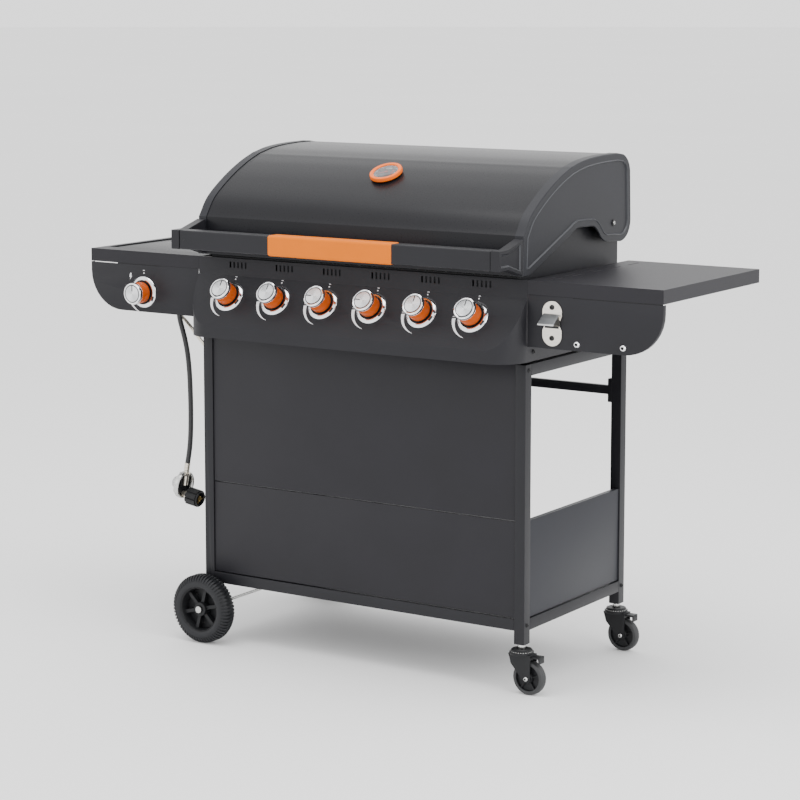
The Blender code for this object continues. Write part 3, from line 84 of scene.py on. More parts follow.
# ---- studio ----
CAMERA_LENS = 111.07
CAMERA_SHIFT = -0.1
CAMERA_PLACE = (3.0095, -4.6411, 1.5038)
CAMERA_PITCH, CAMERA_TURN = math.radians(7.676), math.radians(33.093)
SKY_STRENGTH = 1.75
FLOOR_RADIUS = 90.0


# ---- materials ----
def material(name, colour, rough, metal=0.0, coat=0.0, specular=0.5):
    """A Principled material whose coat and specular sit on the shader's own sockets."""
    mat = bpy.data.materials.new(name)
    mat.use_nodes = True
    shader = mat.node_tree.nodes["Principled BSDF"]
    shader.inputs["Base Color"].default_value = (*colour, 1)
    shader.inputs["Roughness"].default_value = rough
    shader.inputs["Metallic"].default_value = metal
    shader.inputs["Coat Weight"].default_value = coat
    shader.inputs["Specular IOR Level"].default_value = specular
    return mat, mat.node_tree, shader


def add(tree, kind, **values):
    node = tree.nodes.new(kind)
    for key, value in values.items():
        if key in node.inputs:
            node.inputs[key].default_value = value
        else:
            setattr(node, key, value)
    return node


def coordinates(tree, stretch=(1, 1, 1)):
    """The piece's own coordinates in metres, stretched along its axes."""
    place = add(tree, "ShaderNodeTexCoord")
    mapping = add(tree, "ShaderNodeMapping")
    mapping.inputs["Scale"].default_value = stretch
    tree.links.new(place.outputs["Object"], mapping.inputs["Vector"])
    return mapping.outputs["Vector"]


def noise(tree, at, scale, detail=3.0, rough=0.55):
    node = add(tree, "ShaderNodeTexNoise", Scale=scale, Detail=detail, Roughness=rough)
    tree.links.new(at, node.inputs["Vector"])
    return node.outputs["Fac"]


def ramp(tree, factor, stops):
    node = add(tree, "ShaderNodeValToRGB")
    edges = node.color_ramp.elements
    while len(edges) < len(stops):
        edges.new(0.5)
    for edge, (where, value) in zip(edges, stops):
        edge.position = where
        edge.color = (*value, 1) if hasattr(value, "__len__") else (value, value, value, 1)
    tree.links.new(factor, node.inputs["Fac"])
    return node.outputs["Color"]


def bump(tree, shader, height, distance, strength=1.0):
    node = add(tree, "ShaderNodeBump", Strength=strength, Distance=distance)
    tree.links.new(height, node.inputs["Height"])
    tree.links.new(node.outputs["Normal"], shader.inputs["Normal"])


def tint(colour, by):
    return tuple(c * by for c in colour)


def speckled(name, colour, rough, spread=0.12, grain=900.0, depth=0.00006, clouds=6.0, metal=0.0,
             coat=0.0, specular=0.5):
    """Paint, plastic or rubber: a fine grain, cloudy colour and roughness, and dust in the grain."""
    mat, tree, shader = material(name, colour, rough, metal, coat, specular)
    at = coordinates(tree)
    cloud = noise(tree, at, clouds, 4.0)
    fine = noise(tree, at, grain, 2.0)
    shades = ramp(tree, cloud, [(0.3, tint(colour, 1 - spread)), (0.7, tint(colour, 1 + spread))])
    tree.links.new(shades, shader.inputs["Base Color"])
    dulls = ramp(tree, fine, [(0.3, rough - 0.05), (0.7, rough + 0.05)])
    tree.links.new(dulls, shader.inputs["Roughness"])
    bump(tree, shader, fine, depth)
    return mat


def brushed(name, colour, rough, stretch=(400, 14, 400), depth=0.00003, metal=1.0):
    """Metal with fine parallel scratches, long along the axis with the small stretch."""
    mat, tree, shader = material(name, colour, rough, metal)
    lines = noise(tree, coordinates(tree, stretch), 1.0, 4.0)
    shades = ramp(tree, lines, [(0.3, tint(colour, 0.88)), (0.7, tint(colour, 1.06))])
    tree.links.new(shades, shader.inputs["Base Color"])
    dulls = ramp(tree, lines, [(0.3, rough - 0.06), (0.7, rough + 0.08)])
    tree.links.new(dulls, shader.inputs["Roughness"])
    bump(tree, shader, lines, depth)
    return mat


def spun(name, colour, rough):
    """A turned metal face, with fine rings and a painted highlight and painted shade sweeping around its
    axis.
    """
    mat, tree, shader = material(name, colour, rough, 1.0)
    at = coordinates(tree)
    parts = add(tree, "ShaderNodeSeparateXYZ")
    tree.links.new(at, parts.inputs["Vector"])
    around = add(tree, "ShaderNodeMath", operation="ARCTAN2")
    tree.links.new(parts.outputs["Y"], around.inputs[0])
    tree.links.new(parts.outputs["X"], around.inputs[1])
    # Base colour turns lighter and darker twice around the axis: a painted sheen of highlight and shade.
    wave = add(tree, "ShaderNodeMath", operation="MULTIPLY")
    wave.inputs[1].default_value = 2.0
    tree.links.new(around.outputs[0], wave.inputs[0])
    painted_sheen_swing = add(tree, "ShaderNodeMath", operation="SINE")
    tree.links.new(wave.outputs[0], painted_sheen_swing.inputs[0])
    half = add(tree, "ShaderNodeMath", operation="MULTIPLY_ADD")
    half.inputs[1].default_value = 0.5
    half.inputs[2].default_value = 0.5
    tree.links.new(painted_sheen_swing.outputs[0], half.inputs[0])
    stops = [(0.0, tint(colour, 0.82)), (0.6, colour), (1.0, tint(colour, 1.12))]
    tree.links.new(ramp(tree, half.outputs[0], stops), shader.inputs["Base Color"])
    rings = add(tree, "ShaderNodeTexWave", wave_type="RINGS", rings_direction="Z", Scale=900.0)
    rings.inputs["Distortion"].default_value = 0.4
    tree.links.new(at, rings.inputs["Vector"])
    tree.links.new(ramp(tree, rings.outputs["Fac"], [(0, rough - 0.05), (1, rough + 0.06)]),
                   shader.inputs["Roughness"])
    bump(tree, shader, rings.outputs["Fac"], 0.00002)
    return mat


POWDER = speckled("powder_coat_black", (0.0125, 0.012, 0.015), 0.46, 0.08, specular=0.24)
# Lighter, bluer copy of the black powder coat for the side panels: painted light from the right.
POWDER_LIT_SIDE = speckled("powder_coat_painted_lit_side", (0.0155, 0.0165, 0.0215), 0.44, 0.06, specular=0.24)
POWDER_FRAME = speckled("powder_coat_frame", (0.0115, 0.0115, 0.014), 0.42, 0.08, specular=0.24)
PANEL = speckled("powder_coat_panel", (0.012, 0.0118, 0.0145), 0.5, 0.07, specular=0.24)
ENAMEL = speckled("lid_enamel", (0.0085, 0.0086, 0.0105), 0.31, 0.08, grain=420.0, depth=0.00002,
                  specular=0.2)
ENAMEL_CAP = speckled("cap_enamel", (0.0145, 0.015, 0.0185), 0.46, 0.06, grain=700.0,
                      specular=0.25)
# Lighter enamel for bead and field borders: a painted highlight.
ENAMEL_PAINTED_HIGHLIGHT = speckled("cap_enamel_painted_highlight", (0.04, 0.042, 0.048), 0.34, 0.05, grain=700.0,
                       specular=0.4)
MOULDED = speckled("moulded_black", (0.0085, 0.0088, 0.01), 0.46, 0.1, grain=1400.0,
                   depth=0.00005, specular=0.26)
TYRE = speckled("tyre_plastic", (0.011, 0.0115, 0.0135), 0.5, 0.16, grain=700.0, depth=0.0001,
                specular=0.3)
RUBBER = speckled("hose_rubber", (0.015, 0.015, 0.0165), 0.5, 0.12, grain=1100.0, depth=0.00008)
SOFT_RUBBER = speckled("caster_tread", (0.023, 0.0235, 0.025), 0.58, 0.1, grain=900.0,
                       depth=0.00006)
GRIP = speckled("grip_orange", (0.66, 0.15, 0.0), 0.45, 0.05, grain=1200.0, depth=0.00004,
                specular=0.1)
SKIRT = speckled("skirt_orange", (0.5, 0.075, 0.002), 0.4, 0.06, grain=1200.0, depth=0.00003,
                 specular=0.2)
IRON = speckled("cast_iron_grate", (0.015, 0.015, 0.0152), 0.62, 0.25, grain=320.0, depth=0.00025,
                metal=0.3)
INK = speckled("white_print", (0.72, 0.73, 0.75), 0.4, 0.03, depth=0.00001)
# Near-black used as painted shade in sockets, grooves, gaps and hollows, and as plain black for the bezel
# scale and the opener screws.
BLACK_AND_PAINTED_SHADE = speckled("black_and_painted_shade", (0.004, 0.004, 0.005), 0.6, 0.1)
RED = speckled("red_mark", (0.55, 0.03, 0.02), 0.45, 0.05, depth=0.00001)
CHROME = speckled("chrome_plate", (0.86, 0.86, 0.88), 0.09, 0.03, grain=60.0, depth=0.00001,
                  metal=1.0)
ZINC = speckled("zinc_plate", (0.58, 0.58, 0.57), 0.27, 0.14, grain=260.0, depth=0.00004,
                clouds=60.0, metal=1.0)
BRASS = speckled("brass_core", (0.68, 0.48, 0.18), 0.28, 0.12, grain=500.0, metal=1.0)
PIPE = speckled("pipe_nickel", (0.74, 0.69, 0.6), 0.34, 0.06, grain=300.0, depth=0.00001,
                metal=1.0)
NICKEL = brushed("opener_nickel", (0.8, 0.76, 0.69), 0.3, (30, 900, 900))
# Dark brushed metal for the opener hood's upward slopes: a painted dark reflection.
HOOD_PAINTED_REFLECTION = brushed("hood_painted_reflection", (0.16, 0.165, 0.17), 0.42, (14, 420, 420))
STEEL = brushed("brushed_steel", (0.58, 0.58, 0.58), 0.32, (12, 500, 500))
TRAY = brushed("tray_steel", (0.5, 0.5, 0.5), 0.38, (9, 260, 260))
FACE = spun("knob_face", (0.8, 0.81, 0.83), 0.27)
DIAL = speckled("dial_black", (0.01, 0.01, 0.012), 0.45, 0.1)
RING = speckled("gauge_orange", (0.8, 0.135, 0.0), 0.33, 0.05, depth=0.00002, specular=0.3)


def glass_material():
    mat, tree, shader = material("gauge_glass", (1, 1, 1), 0.03)
    shader.inputs["Transmission Weight"].default_value = 1.0
    shader.inputs["IOR"].default_value = 1.45
    smear = noise(tree, coordinates(tree), 90.0)
    tree.links.new(ramp(tree, smear, [(0.3, 0.02), (0.8, 0.07)]), shader.inputs["Roughness"])
    return mat


GLASS = glass_material()


# ---- making pieces ----
def new_object(name, data):
    item = bpy.data.objects.new(name, data)
    bpy.context.scene.collection.objects.link(item)
    return item


def smooth_edges(mesh, angle=32):
    mesh.polygons.foreach_set("use_smooth", [True] * len(mesh.polygons))
    mesh.set_sharp_from_angle(angle=math.radians(angle))


def piece(name, form, mats, body, replaces=(), matrix=None, bevel=0.0, segments=2,
          angle=32):
    """Makes an object of a bmesh, rounds its edges, and puts it on a CAD body."""
    bmesh.ops.remove_doubles(form, verts=form.verts, dist=0.000001)
    bmesh.ops.recalc_face_normals(form, faces=form.faces)
    mesh = bpy.data.meshes.new(name)
    form.to_mesh(mesh)
    form.free()
    for mat in mats if isinstance(mats, (list, tuple)) else [mats]:
        mesh.materials.append(mat)
    item = new_object(name, mesh)
    if matrix is not None:
        item.matrix_world = matrix
    smooth_edges(mesh, angle)
    if bevel:
        add_bevel(item, bevel, segments)
    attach(item, body)
    if replaces:
        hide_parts(*replaces)
    return item


def add_bevel(item, width, segments=2, angle=32):
    mod = item.modifiers.new("rounding", "BEVEL")
    mod.width = width
    mod.segments = segments
    mod.limit_method = "ANGLE"
    mod.angle_limit = math.radians(angle)
    mod.harden_normals = True
    mod.use_clamp_overlap = True


def dress(nodes, mat, bevel=0.0, segments=2):
    """Gives carried-over nodes a material, smooth round faces and rounded edges."""
    for node in nodes:
        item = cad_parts[node]
        item.data.materials.clear()
        item.data.materials.append(mat)
        smooth_edges(item.data)
        if bevel:
            weld = item.modifiers.new("weld", "WELD")
            weld.merge_threshold = 0.00001
            merge = item.modifiers.new("flat_faces", "DECIMATE")
            merge.decimate_type = "DISSOLVE"
            merge.angle_limit = math.radians(0.5)
            add_bevel(item, bevel, segments)


def spin(angle):
    return Matrix.Rotation(angle, 4, "Z")


def turned(form, profile, steps=48, mat=0):
    """Adds a turned body to a bmesh: (radius, height) pairs from the top down about Z."""
    rings = []
    for radius, height in profile:
        if radius < 1e-6:
            rings.append([form.verts.new((0, 0, height))])
        else:
            turns = [math.tau * i / steps for i in range(steps)]
            rings.append([form.verts.new((radius * math.cos(t), radius * math.sin(t), height))
                          for t in turns])
    for upper, lower in zip(rings, rings[1:]):
        for i in range(steps):
            j = (i + 1) % steps
            corners = (upper[i % len(upper)], lower[i % len(lower)],
                       lower[j % len(lower)], upper[j % len(upper)])
            unique = list(dict.fromkeys(corners))
            if len(unique) > 2:
                form.faces.new(unique).material_index = mat


def slab(form, low, high, mat=0, matrix=None):
    """Adds a box between two corners to a bmesh."""
    low, high = Vector(low), Vector(high)
    made = bmesh.ops.create_cube(form, size=1.0)["verts"]
    place = Matrix.Translation((low + high) / 2) @ Matrix.Diagonal((*(high - low), 1))
    bmesh.ops.transform(form, matrix=place, verts=made)
    if matrix is not None:
        bmesh.ops.transform(form, matrix=matrix, verts=made)
    for face in {f for v in made for f in v.link_faces}:
        face.material_index = mat


def prism(form, outline, low, high, mat=0, matrix=None):
    """Adds an outline in XY stretched from one height to another to a bmesh."""
    bottom = [form.verts.new((x, y, low)) for x, y in outline]
    top = [form.verts.new((x, y, high)) for x, y in outline]
    made = [form.faces.new(top), form.faces.new(bottom[::-1])]
    for i in range(len(outline)):
        j = (i + 1) % len(outline)
        made.append(form.faces.new((bottom[i], bottom[j], top[j], top[i])))
    for face in made:
        face.material_index = mat
    if matrix is not None:
        bmesh.ops.transform(form, matrix=matrix, verts=bottom + top)
    return made


def arc(centre, radius, start, stop, steps):
    turns = [math.radians(start + (stop - start) * i / steps) for i in range(steps + 1)]
    return [(centre[0] + radius * math.cos(t), centre[1] + radius * math.sin(t)) for t in turns]


def curved(points, per=8):
    """A smooth line through points, with so many steps between each two."""
    points = [Vector(p) for p in points]
    line = []
    for i in range(len(points) - 1):
        p1, p2 = points[i], points[i + 1]
        p0 = points[i - 1] if i else p1 * 2 - p2
        p3 = points[i + 2] if i + 2 < len(points) else p2 * 2 - p1
        for k in range(per):
            t = k / per
            line.append(0.5 * (2 * p1 + (p2 - p0) * t + (2 * p0 - 5 * p1 + 4 * p2 - p3) * t * t
                               + (3 * p1 - p0 - 3 * p2 + p3) * t ** 3))
    return line + [points[-1]]


def frame_at(at, out, up=(0, 0, 1)):
    """A local frame at a point: its Z points out and its Y as near up as it can."""
    z = Vector(out).normalized()
    x = Vector(up).cross(z).normalized()
    y = z.cross(x)
    turn = Matrix((x, y, z)).transposed().to_4x4()
    return Matrix.Translation(Vector(at)) @ turn


# in this plane X is depth along the cart, Y is height, and Z points to the right
SIDE_PLANE = Matrix(((0, 0, 1, 0), (1, 0, 0, CART_Y), (0, 1, 0, 0), (0, 0, 0, 1)))


def lid_side(side):
    """The side plane moved to the lid's end, and mirrored on the left."""
    return Matrix.Translation((side * LID_HALF, 0, 0)) @ Matrix.Diagonal((side, 1, 1, 1)) @ SIDE_PLANE


def face_up(form, points):
    """A face through points in the XY plane, which looks along +Z."""
    verts = [form.verts.new((x, y, 0)) for x, y in points]
    face = form.faces.new(verts)
    face.normal_update()
    if face.normal.z < 0:
        face.normal_flip()
    return verts, face


def inset(form, face, thickness, rise=0.0, mat=None, boundary=False):
    """Insets one face, moves it along Z, and gives the new border a material."""
    border = bmesh.ops.inset_region(form, faces=[face], thickness=thickness, use_even_offset=True,
                                    use_boundary=boundary)["faces"]
    if rise:
        bmesh.ops.translate(form, vec=(0, 0, rise), verts=list(face.verts))
    if mat is not None:
        for edge_face in border:
            edge_face.material_index = mat


# ---- lid ----
CREASE = (-0.035, 1.1215)
FRONT_DOME = [(-0.239, 0.989), (-0.206, 1.032), (-0.145, 1.073), (-0.085, 1.103), CREASE]
NOTCH = [(0.145, 0.9455), (0.12, 0.947), (0.1, 0.956), (0.085, 0.971), (0.072, 0.9815), (0.058, 0.986)]
REAR_CORNER_STEPS = 14
TOP_DOME = [CREASE, (0.02, 1.1325), (0.09, 1.1385), (0.172, 1.14)]


def lid_line():
    """The lid's outer line from its front edge over the dome to the back, as (y, z)."""
    line = [(-0.2426, 0.904), (-0.2418, 0.93), (-0.2404, 0.965)]
    line += [tuple(p) for p in curved(FRONT_DOME, 10)][:-1]
    line += [tuple(p) for p in curved(TOP_DOME, 8)]
    return line + arc((0.187, 1.092), 0.046, 72, 8, 10)


def cap_outline():
    """The end cap's outline: the lid's line, the rounded rear foot, the notch and the front tip."""
    outline = lid_line() + arc((0.19, 0.989), 0.047, 0, -100, REAR_CORNER_STEPS)
    outline += [tuple(p) for p in curved(NOTCH, 4)]
    outline += [(-0.007, 0.988), (-0.02, 0.984), (-0.03, 0.979), (-0.205, 0.9075), (-0.214, 0.904)]
    return outline


def build_lid_shell():
    form = bmesh.new()
    under = 0.0016
    line = [Vector(p) for p in lid_line()]
    rows = []
    for i, here in enumerate(line):
        along = (line[min(i + 1, len(line) - 1)] - line[max(i - 1, 0)]).normalized()
        inward = Vector((along.y, -along.x))
        rows.append((here + inward * under, here + inward * (under + SHEET)))
    tail = Vector((rows[-1][0].x + 0.0005, 1.048))
    rows.append((tail, tail - Vector((SHEET, 0))))
    front = Vector((rows[0][0].x, 0.904))
    rows.insert(0, (front, front + Vector((0.009, 0.0))))
    half = LID_HALF - under
    stations = [-half + 2 * half * i / 24 for i in range(25)]
    outer, inner = [], []
    for x in stations:
        outer.append([form.verts.new((x, p.x + CART_Y, p.y)) for p, q in rows])
        inner.append([form.verts.new((x, q.x + CART_Y, q.y)) for p, q in rows])
    for a in range(len(stations) - 1):
        for b in range(len(rows) - 1):
            form.faces.new((outer[a][b], outer[a + 1][b], outer[a + 1][b + 1], outer[a][b + 1]))
            form.faces.new((inner[a][b], inner[a][b + 1], inner[a + 1][b + 1], inner[a + 1][b]))
        for b in (0, -1):
            form.faces.new((outer[a][b], inner[a][b], inner[a + 1][b], outer[a + 1][b]))
    for a in (0, -1):
        for b in range(len(rows) - 1):
            form.faces.new((outer[a][b], outer[a][b + 1], inner[a][b + 1], inner[a][b]))
    piece("lid_sheet", form, ENAMEL, "lid", ["lid_shell"], angle=12)


def build_lid_cap(name, side):
    """End cap: a skin with a sunk field inside its border, edged by a bead painted lighter as a
    highlight, and a rim turned in over the sheet.
    """
    form = bmesh.new()
    outline = cap_outline()
    line_count = len(lid_line()) + REAR_CORNER_STEPS
    rim_depth, skin_depth = 0.022, 0.0042
    round_off = 0.0018
    skin, face = face_up(form, outline)
    inset(form, face, round_off, round_off, boundary=True)
    inset(form, face, 0.0125)
    # The bead's faces take the lighter enamel: a painted highlight.
    for wide, rise in ((0.0011, 0.0012), (0.0008, 0.0), (0.0016, -0.003)):
        inset(form, face, wide, rise, mat=1)
    bmesh.ops.translate(form, vec=(0, 0, -round_off), verts=list(form.verts))
    skin_low = [v.co.copy() for v in skin]
    rim = [form.verts.new((p.x, p.y, -rim_depth)) for p in skin_low]
    inside = [form.verts.new((p.x, p.y, -rim_depth)) for p in skin_low]
    floor = [form.verts.new((p.x, p.y, -skin_depth)) for p in skin_low]
    count = len(outline)
    for i, p in enumerate(skin_low):
        along = (skin_low[(i + 1) % count] - skin_low[i - 1]).normalized()
        inward = Vector((along.y, -along.x, 0)) * SHEET
        inside[i].co += inward
        floor[i].co += inward
    for i in range(count):
        j = (i + 1) % count
        if i < line_count:
            form.faces.new((skin[i], skin[j], rim[j], rim[i]))
            form.faces.new((rim[i], rim[j], inside[j], inside[i]))
            form.faces.new((inside[i], inside[j], floor[j], floor[i]))
        else:
            form.faces.new((skin[i], skin[j], floor[j], floor[i]))
    for v in [v for v in form.verts if not v.link_faces]:
        form.verts.remove(v)
    form.faces.new(floor[::-1])
    for i in (0, line_count):
        form.faces.new((skin[i], rim[i], inside[i], floor[i]))
    bmesh.ops.transform(form, matrix=lid_side(side), verts=form.verts)
    piece(name.replace("end", "cap"), form, [ENAMEL_CAP, ENAMEL_PAINTED_HIGHLIGHT], "lid", [name],
          angle=20)


def build_handle():
    """Hollow bar, a moulded arm at each end with a sunk field whose sloped border is painted lighter as a
    highlight, and the orange grip over the middle.
    """
    low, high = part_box("lid_handle")
    back_y = low.y + HANDLE_DEPTH
    arm_in = LID_HALF - ARM_WIDE
    form = bmesh.new()
    slab(form, (-arm_in + 0.0004, low.y + 0.0006, HANDLE_LOW), (arm_in - 0.0004, back_y, HANDLE_TOP))
    piece("handle_bar", form, POWDER_FRAME, "lid", ["lid_handle"], bevel=0.0035,
          segments=4)
    y0, y1, y2 = low.y - CART_Y, back_y - CART_Y, high.y - CART_Y
    outline = [(y0, HANDLE_LOW), (y1 + 0.004, HANDLE_LOW), (y2, 0.906), (y2, 0.983), (y1, HANDLE_TOP),
               (y0, HANDLE_TOP)]
    for side_name, side in SIDES:
        form = bmesh.new()
        face = face_up(form, outline)[1]
        back = bmesh.ops.extrude_face_region(form, geom=[face])["geom"]
        back_verts = [v for v in back if isinstance(v, bmesh.types.BMVert)]
        bmesh.ops.translate(form, vec=(0, 0, -ARM_WIDE), verts=back_verts)
        outer = max(form.faces, key=lambda f: (f.calc_center_median().z, len(f.verts)))
        outer.normal_update()
        if outer.normal.z < 0:
            outer.normal_flip()
        inset(form, outer, 0.008)
        # The sunk field's border takes the lighter enamel: a painted highlight.
        inset(form, outer, 0.0018, -0.0035, mat=1)
        bmesh.ops.transform(form, matrix=lid_side(side), verts=form.verts)
        piece(f"handle_arm_{side_name}", form, [POWDER_FRAME, ENAMEL_PAINTED_HIGHLIGHT], "lid",
              bevel=0.001, segments=3)
        screw(f"handle_screw_{side_name}", (side * (arm_in - 0.014), low.y + 0.0006, 0.9445), (0, -1, 0),
              0.0028, "lid", POWDER_FRAME, 0.0004)
    low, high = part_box("handle_grip")
    form = bmesh.new()
    slab(form, low + Vector((0, 0.0002, 0)), high)
    piece("orange_grip", form, GRIP, "lid", ["handle_grip"], bevel=0.006, segments=5)


def screw(name, at, out, radius, body, mat=ZINC, height=0.0):
    """Low domed screw head whose socket floor is painted dark as shade."""
    form = bmesh.new()
    tall = height or radius * 0.62
    dome = [(0, tall * 0.35), (radius * 0.44, tall * 0.35), (radius * 0.46, tall),
            (radius * 0.72, tall * 0.9), (radius * 0.92, tall * 0.55), (radius, 0.0),
            (radius * 0.9, -0.0004), (0, -0.0004)]
    turned(form, dome, 24)
    # The socket's floor takes the near-black: painted shade.
    for face in form.faces:
        centre = face.calc_center_median()
        if centre.xy.length < radius * 0.45 and centre.z > 0:
            face.material_index = 1
    piece(name, form, [mat, BLACK_AND_PAINTED_SHADE], body, matrix=frame_at(at, out))


# ---- thermometer ----
def dome_place(y):
    """A place on the lid's line at a depth, and the outward direction there."""
    line = lid_line()
    for (y0, z0), (y1, z1) in zip(line, line[1:]):
        if y0 <= y <= y1:
            z = z0 + (z1 - z0) * (y - y0) / (y1 - y0)
            break
    ahead = min(line, key=lambda p: abs(p[0] - y - 0.038))
    behind = min(line, key=lambda p: abs(p[0] - y + 0.038))
    slope = math.atan2(ahead[1] - behind[1], ahead[0] - behind[0])
    return Vector((0, CART_Y + y, z)), Vector((0, -math.sin(slope), math.cos(slope)))


def build_thermometer():
    at, out = dome_place(-0.11)
    matrix = frame_at(at, out, (0, 0.3, 1))
    form = bmesh.new()
    outer, steps = GAUGE_RADIUS, 96
    profile = [(0.0285, 0.0098), (0.03, 0.0112), (0.0335, 0.0118), (0.0364, 0.0108), (outer, 0.0085),
               (outer, 0.003), (0.035, 0.0016), (0.01, 0.0016)]
    turned(form, profile, steps)
    for v in form.verts:
        place = math.atan2(v.co.y, v.co.x) / math.tau * steps
        if v.co.xy.length > 0.0374 and round(place) % 2:
            v.co.xy *= 0.975
    turned(form, [(0.0285, 0.0098), (0.0278, 0.007)], steps)
    turned(form, [(0.0278, 0.007), (0, 0.007)], steps, mat=1)
    turned(form, [(0.0036, 0.0016), (0.0036, -0.033), (0, -0.0345)], 24, mat=2)
    piece("gauge_case", form, [RING, DIAL, ZINC], "lid", ["thermometer"],
          matrix=matrix)
    form = bmesh.new()
    turned(form, [(0.0281, 0.0094), (0.0281, 0.0086), (0, 0.0086)], 64)
    turned(form, [(0.0281, 0.0094), (0.018, 0.0102), (0, 0.0105)], 64)
    piece("gauge_glass", form, GLASS, "lid", matrix=matrix)
    form = bmesh.new()
    for i in range(DIAL_TICKS):
        angle = math.radians(225 - 9 * i)
        long, wide = (0.005, 0.0005) if i % 5 == 0 else (0.0026, 0.00028)
        turn = spin(angle)
        slab(form, (0.0262 - long, -wide, 0.007), (0.0262, wide, 0.0072), 0, turn)
    needle = [(-0.005, -0.0011), (0.0195, -0.0002), (0.0195, 0.0002), (-0.005, 0.0011)]
    prism(form, needle, 0.0074, 0.0078, 1, spin(math.radians(208)))
    turned(form, [(0, 0.0084), (0.0022, 0.0082), (0.0026, 0.007)], 20, mat=1)
    for start in (-20, 60):
        band = arc((0, 0), 0.017, start, start + 60, 14)
        band += arc((0, 0), 0.0156, start + 60, start, 14)
        prism(form, band, 0.007, 0.0072, 1 if start < 0 else 0)
    piece("gauge_marks", form, [INK, RED], "lid", matrix=matrix)


# ---- knobs ----
def build_knob(name, node, matrix, left_turned):
    """Knob with a spun face, a groove and the gaps between its parts painted dark as shade, a chrome rim,
    an orange skirt and a zinc spindle.
    """
    form = bmesh.new()
    turned(form, [(0, 0.0448), (0.0187, 0.0448)], 64, mat=0)
    # The groove round the face, the step under the rim and the underside are near-black: painted shade.
    turned(form, [(0.0187, 0.0448), (0.0191, 0.0436), (0.0205, 0.0436), (0.0209, 0.0447)], 64, mat=2)
    turned(form, [(0.0209, 0.0447), (0.0224, 0.045), (0.0243, 0.0442), (0.0251, 0.0428),
                  (0.0252, 0.0405), (0.0252, 0.0372), (0.0246, 0.0362)], 64, mat=1)
    turned(form, [(0.0246, 0.0362), (0.0238, 0.0357), (0.0238, 0.035)], 64, mat=2)
    turned(form, [(0.0238, 0.035), (0.0243, 0.0345), (0.0244, 0.0335), (0.0242, 0.0105),
                  (0.0238, 0.0095)], 64, mat=3)
    turned(form, [(0.0238, 0.0095), (0.0228, 0.0088), (0.0228, 0.005), (0.0045, 0.005)], 64, mat=2)
    turned(form, [(0.0045, 0.005), (0.0045, -0.019), (0.0038, -0.02), (0, -0.02)], 32, mat=4)
    # The pointer groove is a near-black bar: painted shade.
    groove = spin(PHI if left_turned else 0.0)
    slab(form, (-0.0012, 0.0058, 0.044), (0.0012, 0.0185, 0.04495), 2, groove)
    piece(name, form, [FACE, CHROME, BLACK_AND_PAINTED_SHADE, SKIRT, ZINC], node, [node], matrix=matrix)


def build_bezel(name, matrix):
    """Chrome ring on the panel around a knob, with its throat painted dark as shade, a dark scale and a
    red tick.
    """
    form = bmesh.new()
    inner, outer = 0.0272, 0.0371
    turned(form, [(inner, 0.0008), (inner, 0.0058), (0.0286, 0.007), (0.0312, 0.0072),
                  (0.0354, 0.0046), (0.0369, 0.0026), (outer, 0.0003)], 72, mat=0)
    # The throat is near-black: painted shade.
    turned(form, [(inner, 0.0008), (0.011, 0.0008)], 48, mat=1)
    band = arc((0, 0), 0.0346, -36, -14, 10) + arc((0, 0), 0.0312, -14, -36, 10)
    faces = prism(form, band, 0.0046, 0.0074, 1)
    for v in {v for f in faces for v in f.verts}:
        if v.co.z > 0.006:
            v.co.z = 0.0076 - (v.co.xy.length - 0.0312) * 0.62
    tick = spin(math.radians(9))
    slab(form, (0.03, -0.0005, 0.004), (0.0352, 0.0005, 0.0066), 2, tick)
    piece(name, form, [CHROME, BLACK_AND_PAINTED_SHADE, RED], "cart", matrix=matrix)


def build_marks(name, matrix, spark=False):
    """Printed marks by a knob: a tapering crescent, a dot, dashes, and the side knob's spark sign."""
    form = bmesh.new()
    steps = 24
    outer, inner = [], []
    for i in range(steps + 1):
        t = i / steps
        angle = math.radians(187 + 73 * t)
        radius = 0.0462 + 0.0036 * t
        half = 0.004 * (1 - t) ** 0.9 + 0.0002
        outer.append(((radius + half) * math.cos(angle), (radius + half) * math.sin(angle)))
        inner.append(((radius - half) * math.cos(angle), (radius - half) * math.sin(angle)))
    prism(form, outer + inner[::-1], -PRINT, PRINT)
    prism(form, arc((0, 0.044), 0.0017, 0, 330, 11), -PRINT, PRINT)
    slab(form, (-0.0026, 0.0494, -PRINT), (0.0026, 0.0508, PRINT))
    slab(form, (-0.05, -0.0024, -PRINT), (-0.0455, -0.001, PRINT))
    if spark:
        sign = [(-0.0014, 0.008), (0.0028, 0.008), (0.0012, 0.0014), (0.0038, 0.0014),
                (-0.0022, -0.0082), (-0.0006, -0.0014), (-0.0036, -0.0014)]
        prism(form, [(x - 0.0395, y + 0.034) for x, y in sign], -PRINT, PRINT)
    piece(name, form, INK, "cart", matrix=matrix)


def build_knobs():
    for i, x in enumerate(KNOB_XS):
        matrix = frame_at((x, KNOB_Y, KNOB_Z), SLANT_OUT)
        build_knob(f"knob_{i + 1}", f"burner_knob_{i + 1}", matrix, i in LEFT_TURNED_KNOBS)
        build_bezel(f"bezel_{i + 1}", matrix)
        build_marks(f"panel_print_{i + 1}", matrix)
    matrix = frame_at(SIDE_KNOB, (0, -1, 0))
    build_knob("knob_side", "side_burner_knob", matrix, False)
    build_bezel("bezel_side", matrix)
    build_marks("fascia_print_left", matrix, spark=True)


